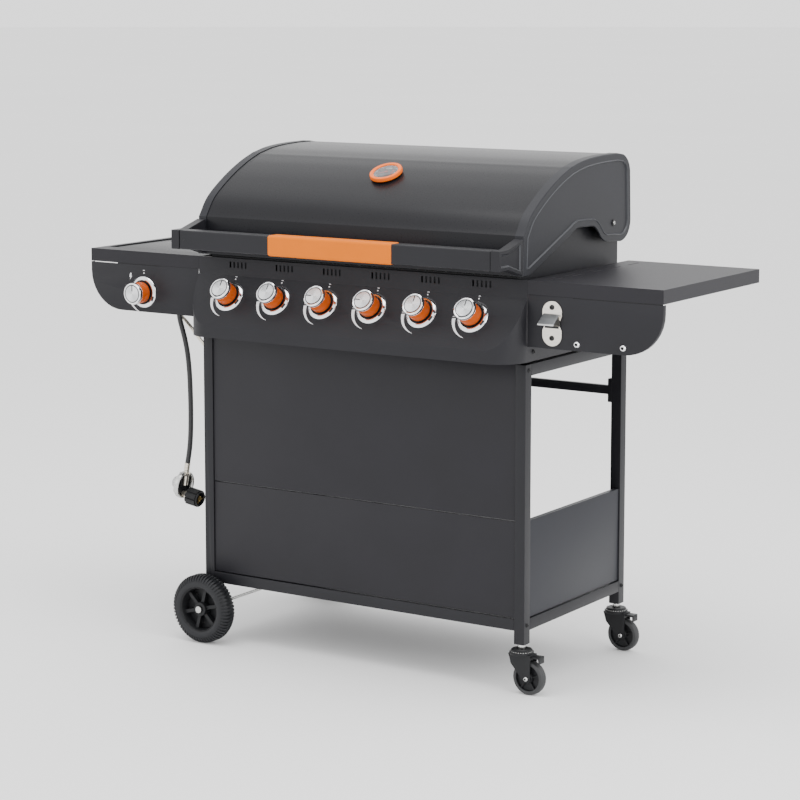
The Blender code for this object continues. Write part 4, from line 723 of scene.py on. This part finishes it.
# ---- transport wheels ----
def build_wheel_web(form):
    """The wheel's web with its three holes, closed round their edges."""
    ring_r = [0.0462, 0.04, 0.0335, 0.027, 0.0165]
    per_hole = WEB_STEPS // WEB_HOLES
    grid = {}
    for face_z in (WEB_FRONT, WEB_BACK):
        for k, r in enumerate(ring_r):
            for i in range(WEB_STEPS):
                angle = math.tau * (i + 0.5) / WEB_STEPS
                grid[face_z, k, i] = form.verts.new((r * math.cos(angle), r * math.sin(angle), face_z))
    for face_z in (WEB_FRONT, WEB_BACK):
        for k in range(len(ring_r) - 1):
            for i in range(WEB_STEPS):
                if k == 1 and i % per_hole < 5:
                    continue
                j = (i + 1) % WEB_STEPS
                quad = [grid[face_z, k, i], grid[face_z, k, j],
                        grid[face_z, k + 1, j], grid[face_z, k + 1, i]]
                form.faces.new(quad[::-1] if face_z == WEB_BACK else quad).material_index = 1
    for hole in range(WEB_HOLES):
        start = hole * per_hole
        loop = [(1, start + i) for i in range(6)] + [(2, start + 5 - i) for i in range(6)]
        for (k0, i0), (k1, i1) in zip(loop, loop[1:] + loop[:1]):
            form.faces.new((grid[WEB_FRONT, k0, i0], grid[WEB_FRONT, k1, i1],
                            grid[WEB_BACK, k1, i1], grid[WEB_BACK, k0, i0])).material_index = 1


def build_wheel_lugs(form):
    """Two staggered rows of tread lugs over the shoulders, and small blocks between them."""
    half = TYRE_HALF
    outline = [(0.0655, half - 0.0022), (0.0664, half), (0.0722, half - 0.0022), (0.0772, half - 0.0068),
               (0.08, half - 0.0125), (0.08, 0.0062), (0.077, 0.004)]
    for row in (1, -1):
        for i in range(LUG_COUNT):
            turn = spin(math.tau * (i + (0.5 if row < 0 else 0)) / LUG_COUNT)
            ring = [[form.verts.new(turn @ Vector((r, wide * 0.0021, row * z))) for r, z in outline]
                    for wide in (-1, 1)]
            for a in range(len(outline)):
                b = (a + 1) % len(outline)
                form.faces.new((ring[0][a], ring[0][b], ring[1][b], ring[1][a]))
            form.faces.new(ring[0][::-1])
            form.faces.new(ring[1])
    for i in range(LUG_COUNT):
        turn = spin(math.tau * (i + 0.25) / LUG_COUNT)
        slab(form, (0.0765, -0.0016, -0.0035), (0.0792, 0.0016, 0.0035), 0, turn)


def build_wheel(name, node, side):
    """Treaded plastic tyre on a deep rim with six spokes, three web holes and a recessed hub."""
    low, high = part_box(node)
    form = bmesh.new()
    half = TYRE_HALF
    tyre = [(0.053, half - 0.0015), (0.056, half), (0.064, half - 0.0004), (0.07, half - 0.003),
            (0.0745, half - 0.0075), (0.0768, half - 0.0125), (TYRE_RADIUS, 0.004)]
    tyre += [(r, -z) for r, z in reversed(tyre)]
    turned(form, tyre, 72, mat=0)
    rim = [(0.053, half - 0.0015), (0.0515, half - 0.0034), (0.05, half - 0.003),
           (0.0488, half - 0.005), (0.047, -0.002), (0.0462, WEB_FRONT)]
    turned(form, rim, 72, mat=1)
    turned(form, [(0.0462, WEB_BACK), (0.05, -half + 0.003), (0.053, -half + 0.0015)], 72, mat=1)
    build_wheel_web(form)
    hub = [(0.0046, 0.01), (0.008, 0.01), (0.0084, 0.0165), (0.015, 0.0165), (0.0163, 0.015),
           (0.0167, WEB_FRONT)]
    turned(form, hub, 48, mat=1)
    turned(form, [(0.0167, WEB_BACK), (0.0163, -half + 0.001), (0.0046, -half)], 48, mat=1)
    turned(form, [(0.0046, -half), (0.0046, 0.01)], 24, mat=1)
    for i in range(6):
        turn = spin(math.tau * (i + 0.25) / 6)
        slab(form, (0.0155, -0.0042, -0.0042), (0.0478, 0.0042, 0.0105), 1, turn)
        slab(form, (0.0155, -0.0018, -0.018), (0.0478, 0.0018, -0.0098), 1, turn)
    build_wheel_lugs(form)
    piece(name, form, [TYRE, MOULDED], node, [node],
          matrix=frame_at((low + high) / 2, (0, side, 0)), bevel=0.0004, segments=1, angle=40)


def build_caster_wheel(name, node):
    """Soft tread on a moulded wheel, dished on both sides with five ribs."""
    low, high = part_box(node)
    centre = (low + high) / 2
    form = bmesh.new()
    half = (high.y - low.y) / 2
    r = (high.x - low.x) / 2
    tread = [(0.028, half - 0.0012), (0.029, half), (r - 0.006, half), (r - 0.0022, half - 0.0018),
             (r - 0.0004, half - 0.005), (r, half - 0.0085)]
    tread += [(a, -b) for a, b in reversed(tread)]
    turned(form, tread, 64, mat=0)
    for sign in (1, -1):
        dish = [(0.028, half - 0.0012), (0.0274, half - 0.007), (0.014, half - 0.0078),
                (0.0125, half - 0.0078), (0.0108, half - 0.001), (0.01, half - 0.0002),
                (0.0046, half - 0.0002)]
        turned(form, [(a, sign * b) for a, b in dish], 48, mat=1)
        for i in range(5):
            turn = spin(math.tau * i / 5 + 0.3)
            bottom, top = sorted((sign * (half - 0.008), sign * (half - 0.0022)))
            slab(form, (0.01, -0.0012, bottom), (0.0276, 0.0012, top), 1, turn)
    turned(form, [(0.0046, half - 0.0002), (0.0046, 0.0002 - half)], 24, mat=1)
    piece(name, form, [SOFT_RUBBER, MOULDED], node, [node],
          matrix=frame_at(centre, (0, -1, 0)), bevel=0.0003, segments=1)


def build_caster_trim(name, fork_body, y):
    """Ball race rings under the stem nut, and the axle's bolt heads on the fork."""
    form = bmesh.new()
    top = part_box(f"caster_fork_{name}")[1].z
    turned(form, [(0.01, top + 0.0004), (0.0205, top + 0.0004), (0.0228, top - 0.0012),
                  (0.0232, top - 0.004), (0.0262, top - 0.0052), (0.0266, top - 0.0075),
                  (0.0262, top - 0.0098)], 56)
    for i in range(28):
        spot = spin(math.tau * i / 28)
        slab(form, (0.0226, -0.0011, top - 0.005), (0.0246, 0.0011, top - 0.0034), 1, spot)
    piece(f"caster_race_{name}", form, [MOULDED, ZINC], fork_body,
          matrix=Matrix.Translation((POST_X, y, 0)))
    for way in (-1, 1):
        end = "front" if way < 0 else "back"
        screw(f"caster_bolt_{name}_{end}", (POST_X + 0.02, y + way * 0.0172, 0.0375), (0, way, 0),
              0.0052, fork_body, ZINC if way < 0 else MOULDED)


def build_wheels():
    build_wheel("tyre_front", "wheel_front_left", -1)
    build_wheel("tyre_rear", "wheel_rear_left", 1)
    for name in ("front", "rear"):
        build_caster_wheel(f"caster_roller_{name}", f"caster_wheel_{name}")
        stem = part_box(f"caster_stem_{name}")
        build_caster_trim(name, f"caster_fork_{name}", (stem[0].y + stem[1].y) / 2)


# ---- bottle opener ----
def build_opener():
    """Bottle opener: a nickel plate with round ends and a hood that stands out over a mouth painted dark
    as shade, its upward slopes painted darker as a reflection.
    """
    low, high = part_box("bottle_opener")
    x = (low.x + high.x) / 2
    wide = (high.x - low.x) / 2
    face_y = high.y - 0.002
    low_z, high_z = low.z + wide, high.z - wide
    waist = low_z + 0.022
    outline = arc((x, high_z), wide, 0, 180, 24)
    outline += [(x - wide, high_z - 0.008), (x - 0.017, waist + 0.004), (x - 0.017, waist),
                (x - wide, low_z + 0.01)]
    outline += arc((x, low_z), wide, 180, 360, 24)
    outline += [(x + wide, low_z + 0.01), (x + 0.017, waist), (x + 0.017, waist + 0.004),
                (x + wide, high_z - 0.008)]
    to_face = Matrix(((1, 0, 0, 0), (0, 0, -1, high.y - 0.0003), (0, 1, 0, 0), (0, 0, 0, 1)))
    form = bmesh.new()
    prism(form, outline, 0, 0.002, matrix=to_face)
    piece("opener_plate", form, NICKEL, "cart", ["bottle_opener"], bevel=0.0006,
          segments=3)
    top_z, lip_z = high_z - 0.004, high_z - 0.0255
    form = bmesh.new()
    profile = [(face_y + 0.0005, top_z + 0.001), (face_y - 0.003, top_z - 0.0004),
               (face_y - 0.027, lip_z + 0.0035), (face_y - 0.028, lip_z + 0.002),
               (face_y - 0.0276, lip_z), (face_y - 0.0258, lip_z), (face_y - 0.0245, lip_z + 0.0026),
               (face_y + 0.0005, top_z - 0.003)]
    spans = [(-0.0195, -0.017), (-0.017, 0.0165), (0.0165, 0.019)]
    to_side = Matrix(((0, 0, 1, x), (1, 0, 0, 0), (0, 1, 0, 0), (0, 0, 0, 1)))
    prism(form, profile, spans[0][0], spans[2][1], 0, to_side)
    flank = [(face_y + 0.0005, top_z - 0.001), (face_y - 0.0262, lip_z + 0.0024),
             (face_y - 0.025, lip_z + 0.001), (face_y + 0.0005, lip_z - 0.004)]
    for start, end in (spans[0], spans[2]):
        prism(form, flank, start, end, 2, to_side)
    # A near-black sheet under the hood stands where the mouth is in shade: painted shade.
    mouth = [(face_y + 0.0003, top_z - 0.004), (face_y - 0.0012, top_z - 0.004),
             (face_y - 0.0012, low_z + 0.015), (face_y + 0.0003, low_z + 0.015)]
    prism(form, mouth, spans[1][0], spans[1][1], 1, to_side)
    # Faces that slope up and forward take the dark metal: a painted dark reflection.
    for face in form.faces:
        face.normal_update()
        upward_slope_mask = face.normal.z > 0.3 and face.calc_center_median().y < face_y - 0.01
        if face.material_index == 0 and upward_slope_mask and face.calc_area() > 0.0004:
            face.material_index = 3
    piece("opener_hood", form, [STEEL, BLACK_AND_PAINTED_SHADE, NICKEL, HOOD_PAINTED_REFLECTION], "cart", bevel=0.0004)
    for i, z in enumerate((low_z - 0.006, high_z + 0.01)):
        screw(f"opener_screw_{i + 1}", (x, face_y - 0.0004, z), (0, -1, 0), 0.0056, "cart", BLACK_AND_PAINTED_SHADE)


# ---- gas hose and regulator ----
LEAN = math.radians(9.0)
REGULATOR = Vector((-0.5385, CART_Y - 0.17, 0.345))


SIDEWAYS = Vector((math.cos(LEAN), 0, -math.sin(LEAN)))
UPWARDS = Vector((math.sin(LEAN), 0, math.cos(LEAN)))


def regulator_place(x, z):
    """A place on the leaning regulator, from its own sideways and upward distances."""
    return REGULATOR + Vector((x * math.cos(LEAN) + z * math.sin(LEAN), 0,
                               z * math.cos(LEAN) - x * math.sin(LEAN)))


HOSE_ROUTE = [(-0.4783, -0.19, 0.784), (-0.494, -0.19, 0.7835), (-0.51, -0.1895, 0.779),
              (-0.522, -0.188, 0.769), (-0.5285, -0.1855, 0.755), (-0.5295, -0.182, 0.738),
              (-0.5265, -0.178, 0.717), (-0.5215, -0.174, 0.69), (-0.5165, -0.171, 0.655),
              (-0.5125, -0.17, 0.61), (-0.5105, -0.17, 0.56), (-0.51, -0.17, 0.51),
              (-0.5115, -0.17, 0.465), (-0.515, -0.17, 0.43)]


def build_hose():
    """The hose on its smooth route from the inlet to the regulator's neck."""
    end = regulator_place(0.009, 0.0516)
    route = [Vector((x, y + CART_Y, z)) for x, y, z in HOSE_ROUTE] + [end]
    line = curved(route, 4)
    data = bpy.data.curves.new("gas_line", "CURVE")
    data.dimensions = "3D"
    spline = data.splines.new("POLY")
    spline.points.add(len(line) - 1)
    for point, at in zip(spline.points, line):
        point.co = (*at, 1)
    data.bevel_depth = HOSE_RADIUS
    data.bevel_resolution = 6
    data.use_fill_caps = True
    data.materials.append(RUBBER)
    hose = new_object("gas_line", data)
    spline.use_smooth = True
    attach(hose, "cart")
    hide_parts("gas_hose")
    length = sum((b - a).length for a, b in zip(line, line[1:]))
    return hose, length, line


def ferrule(name, at, out, long=0.018):
    """Crimped sleeve over the hose's end, with three pressed grooves."""
    form = bmesh.new()
    r = 0.0068
    profile = [(0.005, long), (r - 0.0004, long), (r, long - 0.0006)]
    for i in range(3):
        z = long - 0.004 - i * 0.0042
        profile += [(r, z + 0.001), (r - 0.0007, z + 0.0004), (r - 0.0007, z - 0.0004), (r, z - 0.001)]
    profile += [(r, 0.0008), (r - 0.0006, 0), (0.005, 0)]
    turned(form, profile, 40)
    turned(form, [(0.005, 0), (0.005, long)], 40)
    return piece(name, form, PIPE, "cart", matrix=frame_at(at, out, (0, 1, 0)))


def build_regulator():
    """Disc regulator with its neck and spigot, and the ribbed hand nut on its own body."""
    form = bmesh.new()
    turned(form, [(0, 0.0062), (0.0105, 0.0062), (0.0115, 0.0052), (0.0262, 0.0052)], 64, mat=1)
    turned(form, [(0.0262, 0.0052), (0.0272, 0.01), (0.0288, 0.012), (0.0306, 0.012),
                  (0.0326, 0.0098), (0.033, 0.008), (0.033, 0.0018), (0.0318, 0.0002),
                  (0.029, -0.0028), (0.02, -0.0062), (0.0148, -0.009)], 64)
    turned(form, [(0.0148, -0.009), (0.0136, -0.01), (0.0136, -0.0185), (0.012, -0.0212),
                  (0.006, -0.022), (0, -0.022)], 40, mat=2)
    for i in range(18):
        turn = spin(math.tau * i / 18)
        slab(form, (0.013, -0.001, -0.019), (0.0143, 0.001, -0.0105), 2, turn)
    for i in range(8):
        turn = spin(math.tau * (i + 0.5) / 8)
        slab(form, (0.0285, -0.003, -0.0012), (0.0326, 0.003, 0.0022), 0, turn)
    body = piece("regulator_case", form, [ZINC, MOULDED, STEEL], "cart", ["gas_regulator"],
                 matrix=frame_at(REGULATOR, SIDEWAYS, UPWARDS), bevel=0.0003, segments=1)
    form = bmesh.new()
    turned(form, [(0, 0.036), (0.0056, 0.035), (0.0056, 0.028), (0.0064, 0.0275), (0.0064, 0),
                  (0, 0)], 32)
    turned(form, [(0.0098, 0.0235), (0.0098, 0.03)], 6)
    turned(form, [(0, 0.03), (0.0098, 0.03)], 6)
    turned(form, [(0, 0.0235), (0.0098, 0.0235)], 6)
    neck = piece("regulator_neck", form, PIPE, "cart",
                 matrix=frame_at(regulator_place(0.009, 0), UPWARDS, (0, 1, 0)))
    form = bmesh.new()
    turned(form, [(0, 0.019), (0.0066, 0.019), (0.0066, 0.0), (0, 0.0)], 32)
    turned(form, [(0, 0.0195), (0.0092, 0.0185), (0.0098, 0.017), (0.0098, 0.008), (0, 0.008)], 6)
    spigot = piece("regulator_spigot", form, PIPE, "cart",
                   matrix=frame_at(regulator_place(0.006, -0.022), SIDEWAYS, UPWARDS))
    form = bmesh.new()
    outline = []
    for i in range(NUT_RIBS):
        middle = 360 * i / NUT_RIBS
        outline += arc((0, 0), 0.0204, middle - 14, middle + 14, 6)
        outline += arc((0, 0), 0.0178, middle + 17, middle + 23, 2)
    prism(form, outline, 0.0004, 0.03)
    turned(form, [(0.015, 0.0345), (0.0166, 0.034), (0.0178, 0.03)], 60)
    # The nut's hollow is near-black: painted shade.
    turned(form, [(0.015, 0.0345), (0.0132, 0.0325), (0.0128, 0.012), (0, 0.012)], 60, mat=1)
    turned(form, [(0, 0.0335), (0.004, 0.0335), (0.0064, 0.0315), (0.007, 0.012)], 40, mat=2)
    for i in range(3):
        turn = spin(math.tau * i / 3)
        slab(form, (0.0072, -0.0014, 0.02), (0.0124, 0.0014, 0.0318), 2, turn)
    nut = piece("coupling_nut", form, [MOULDED, BLACK_AND_PAINTED_SHADE, BRASS], "regulator_nut",
                ["regulator_nut"], matrix=frame_at(regulator_place(0.025, -0.022), SIDEWAYS, UPWARDS),
                bevel=0.0006)
    return [body, neck, spigot, nut]


def build_gas_line():
    """The hose with a crimp at each end, the regulator and the nut."""
    hose, length, line = build_hose()
    back_up = (line[-2] - line[-1]).normalized()
    lower = ferrule("crimp_lower", line[-1] - back_up * 0.0155, back_up)
    upper = ferrule("crimp_upper", line[0], (line[1] - line[0]).normalized(), 0.016)
    pieces = build_regulator()


# ---- carried-over nodes and fasteners ----
def build_hinge_bolt(side_name, side):
    """Hinge bolt: a dark ring on the cap painted as the shade of its dimple, a low zinc head with its
    socket painted dark as shade, and the shank inside.
    """
    node = f"lid_hinge_bolt_{side_name}"
    low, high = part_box(node)
    length = high.x - low.x
    form = bmesh.new()
    # The socket floor is near-black: painted shade.
    turned(form, [(0, 0.0008), (0.0018, 0.0008)], 24, mat=1)
    turned(form, [(0.0018, 0.0008), (0.0018, 0.0016), (0.0032, 0.0016), (0.004, 0.0006)], 24)
    # The ring round the head is near-black, painted as the shade of the dimple.
    turned(form, [(0.004, 0.0006), (0.0072, 0.0006), (0.0078, 0.0001), (0.004, 0.0001)], 32, mat=1)
    turned(form, [(0.004, 0.0001), (0.004, -0.75 * length), (0, -0.75 * length)], 24)
    at = (side * (LID_HALF + 0.0002), (low.y + high.y) / 2, (low.z + high.z) / 2)
    piece(f"hinge_bolt_{side_name}", form, [ZINC, BLACK_AND_PAINTED_SHADE], "cart", [node],
          matrix=frame_at(at, (side, 0, 0)))


# nodes that keep their CAD shape: material, and any edge rounding and its steps
DRESSED = (
    ([f"post_{a}_{b}" for a in ("front", "rear") for b in ("left", "right")],
     POWDER_FRAME, 0.0016, 3),
    ([f"bottom_rail_{a}" for a in ("front", "rear", "left", "right")], POWDER_FRAME, 0.0014, 3),
    (["top_rail_left", "top_rail_right"], POWDER_FRAME, 0.0014, 3),
    (["rear_crossbar"], POWDER_FRAME, 0.001),
    (["front_panel_lower", "front_panel_upper"], POWDER, 0.001),
    # The side panels take the lit copy of the powder coat: painted light.
    (["side_panel_left", "side_panel_right"], POWDER_LIT_SIDE, 0.001),
    (["base_shelf"], POWDER),
    (["control_panel"], PANEL, 0.0022, 3),
    (["left_table_top", "right_table_top"], POWDER),
    (["left_table_fascia", "right_table_fascia"], PANEL, 0.0005),
    (["side_burner_cover"], ENAMEL, 0.0008),
    (["firebox"], POWDER_FRAME),
    (["cooking_grate_left", "cooking_grate_right"], IRON, 0.0006),
    (["warming_rack"], CHROME),
    (["burner_set"], STEEL),
    (["gas_manifold"], PIPE),
    (["grease_tray"], TRAY, 0.0003),
    (["side_burner"], STEEL, 0.0006),
    (["wheel_axle"], ZINC, 0.0006),
    (["caster_stem_front", "caster_stem_rear"], ZINC, 0.0004),
    (["caster_fork_front", "caster_fork_rear"], MOULDED, 0.0008),
    (["caster_brake_front", "caster_brake_rear"], MOULDED, 0.0008),
)


def dress_nodes():
    for nodes, mat, *rounding in DRESSED:
        dress(nodes, mat, *rounding)
    for side_name, side in SIDES:
        build_hinge_bolt(side_name, side)


def build_fasteners():
    """Chrome screws in the right fascia, and dark screws in the panel's wings and the side rails."""
    for i, (x, z) in enumerate(((0.553, 0.77), (0.661, 0.771))):
        screw(f"fascia_screw_right_{i + 1}", (x, STRIP_Y, z), (0, -1, 0), 0.0074, "cart", CHROME, 0.005)
    for side_name, side in SIDES:
        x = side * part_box("control_panel")[1].x
        screw(f"wing_screw_{side_name}", (x, CART_Y - 0.205, 0.742), (side, 0, 0), 0.005, "cart", MOULDED)
        for end in ("front", "rear"):
            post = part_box(f"post_{end}_{side_name}")
            x = post[1].x if side > 0 else post[0].x
            for j, z in enumerate((0.1505, 0.7025)):
                screw(f"rail_screw_{end}_{side_name}_{j + 1}", (x, (post[0].y + post[1].y) / 2, z),
                      (side, 0, 0), 0.0046, "cart", MOULDED)


def build_slit_painted_shade():
    """Dark flange behind the slit between each table's apron and its fascia, painted as the shade seen
    through the slit.
    """
    inner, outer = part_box("right_table_fascia")[0].x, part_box("right_table_fascia")[1].x
    slit_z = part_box("right_table_top")[0].z
    for side_name, near, far in (("right", inner + 0.001, outer - 0.002),
                                 ("left", 0.078 - outer, -inner - 0.001)):
        form = bmesh.new()
        # A near-black strip stands where the slit shows shade: painted shade.
        slab(form, (near, STRIP_Y + 0.0016, slit_z - 0.008), (far, STRIP_Y + 0.0024, slit_z + 0.006))
        piece(f"slit_painted_shade_{side_name}", form, BLACK_AND_PAINTED_SHADE, "cart", bevel=0.0002,
              segments=1)


# ---- stage, light and camera ----
def build_stage():
    """Plain pale floor and an even white sky."""
    form = bmesh.new()
    bmesh.ops.create_circle(form, cap_ends=True, segments=96, radius=FLOOR_RADIUS)
    mesh = bpy.data.meshes.new("floor")
    form.to_mesh(mesh)
    form.free()
    floor = new_object("floor", mesh)
    floor.data.materials.append(speckled("pale_floor", (0.91, 0.91, 0.91), 0.8, 0.01, grain=40.0,
                                         depth=0.00002, clouds=0.4))
    world = bpy.data.worlds.new("studio")
    world.use_nodes = True
    sky = world.node_tree.nodes["Background"]
    sky.inputs["Color"].default_value = (1.0, 1.0, 1.0, 1)
    sky.inputs["Strength"].default_value = SKY_STRENGTH
    bpy.context.scene.world = world


def area_light(name, at, towards, size, power):
    data = bpy.data.lights.new(name, "AREA")
    data.shape = "RECTANGLE"
    data.size, data.size_y = size
    data.energy = power
    lamp = new_object(name, data)
    lamp.location = at
    lamp.rotation_euler = (Vector(towards) - Vector(at)).to_track_quat("-Z", "Y").to_euler()


def build_lights():
    area_light("top_box", (0.2, -0.6, 3.4), (0, 0, 0.6), (2.6, 1.8), 60)
    area_light("right_box", (3.6, -0.6, 1.7), (0, 0, 0.6), (1.6, 2.2), 60)
    area_light("front_box", (-1.6, -4.0, 2.2), (0, 0, 0.7), (2.2, 2.0), 16)


def build_camera():
    data = bpy.data.cameras.new("photo_view")
    data.sensor_width = 36.0
    data.lens = CAMERA_LENS
    data.shift_y = CAMERA_SHIFT
    data.clip_start, data.clip_end = 0.1, 200
    camera = new_object("photo_view", data)
    camera.location = CAMERA_PLACE
    camera.rotation_euler = (PHI - CAMERA_PITCH, 0, CAMERA_TURN)
    bpy.context.scene.camera = camera


build_camera()
build_gas_line()
build_lid_shell()
build_lid_cap("lid_end_left", -1)
build_lid_cap("lid_end_right", 1)
build_handle()
build_thermometer()
build_knobs()
build_wheels()
build_opener()
dress_nodes()
build_fasteners()
build_slit_painted_shade()
build_stage()
build_lights()
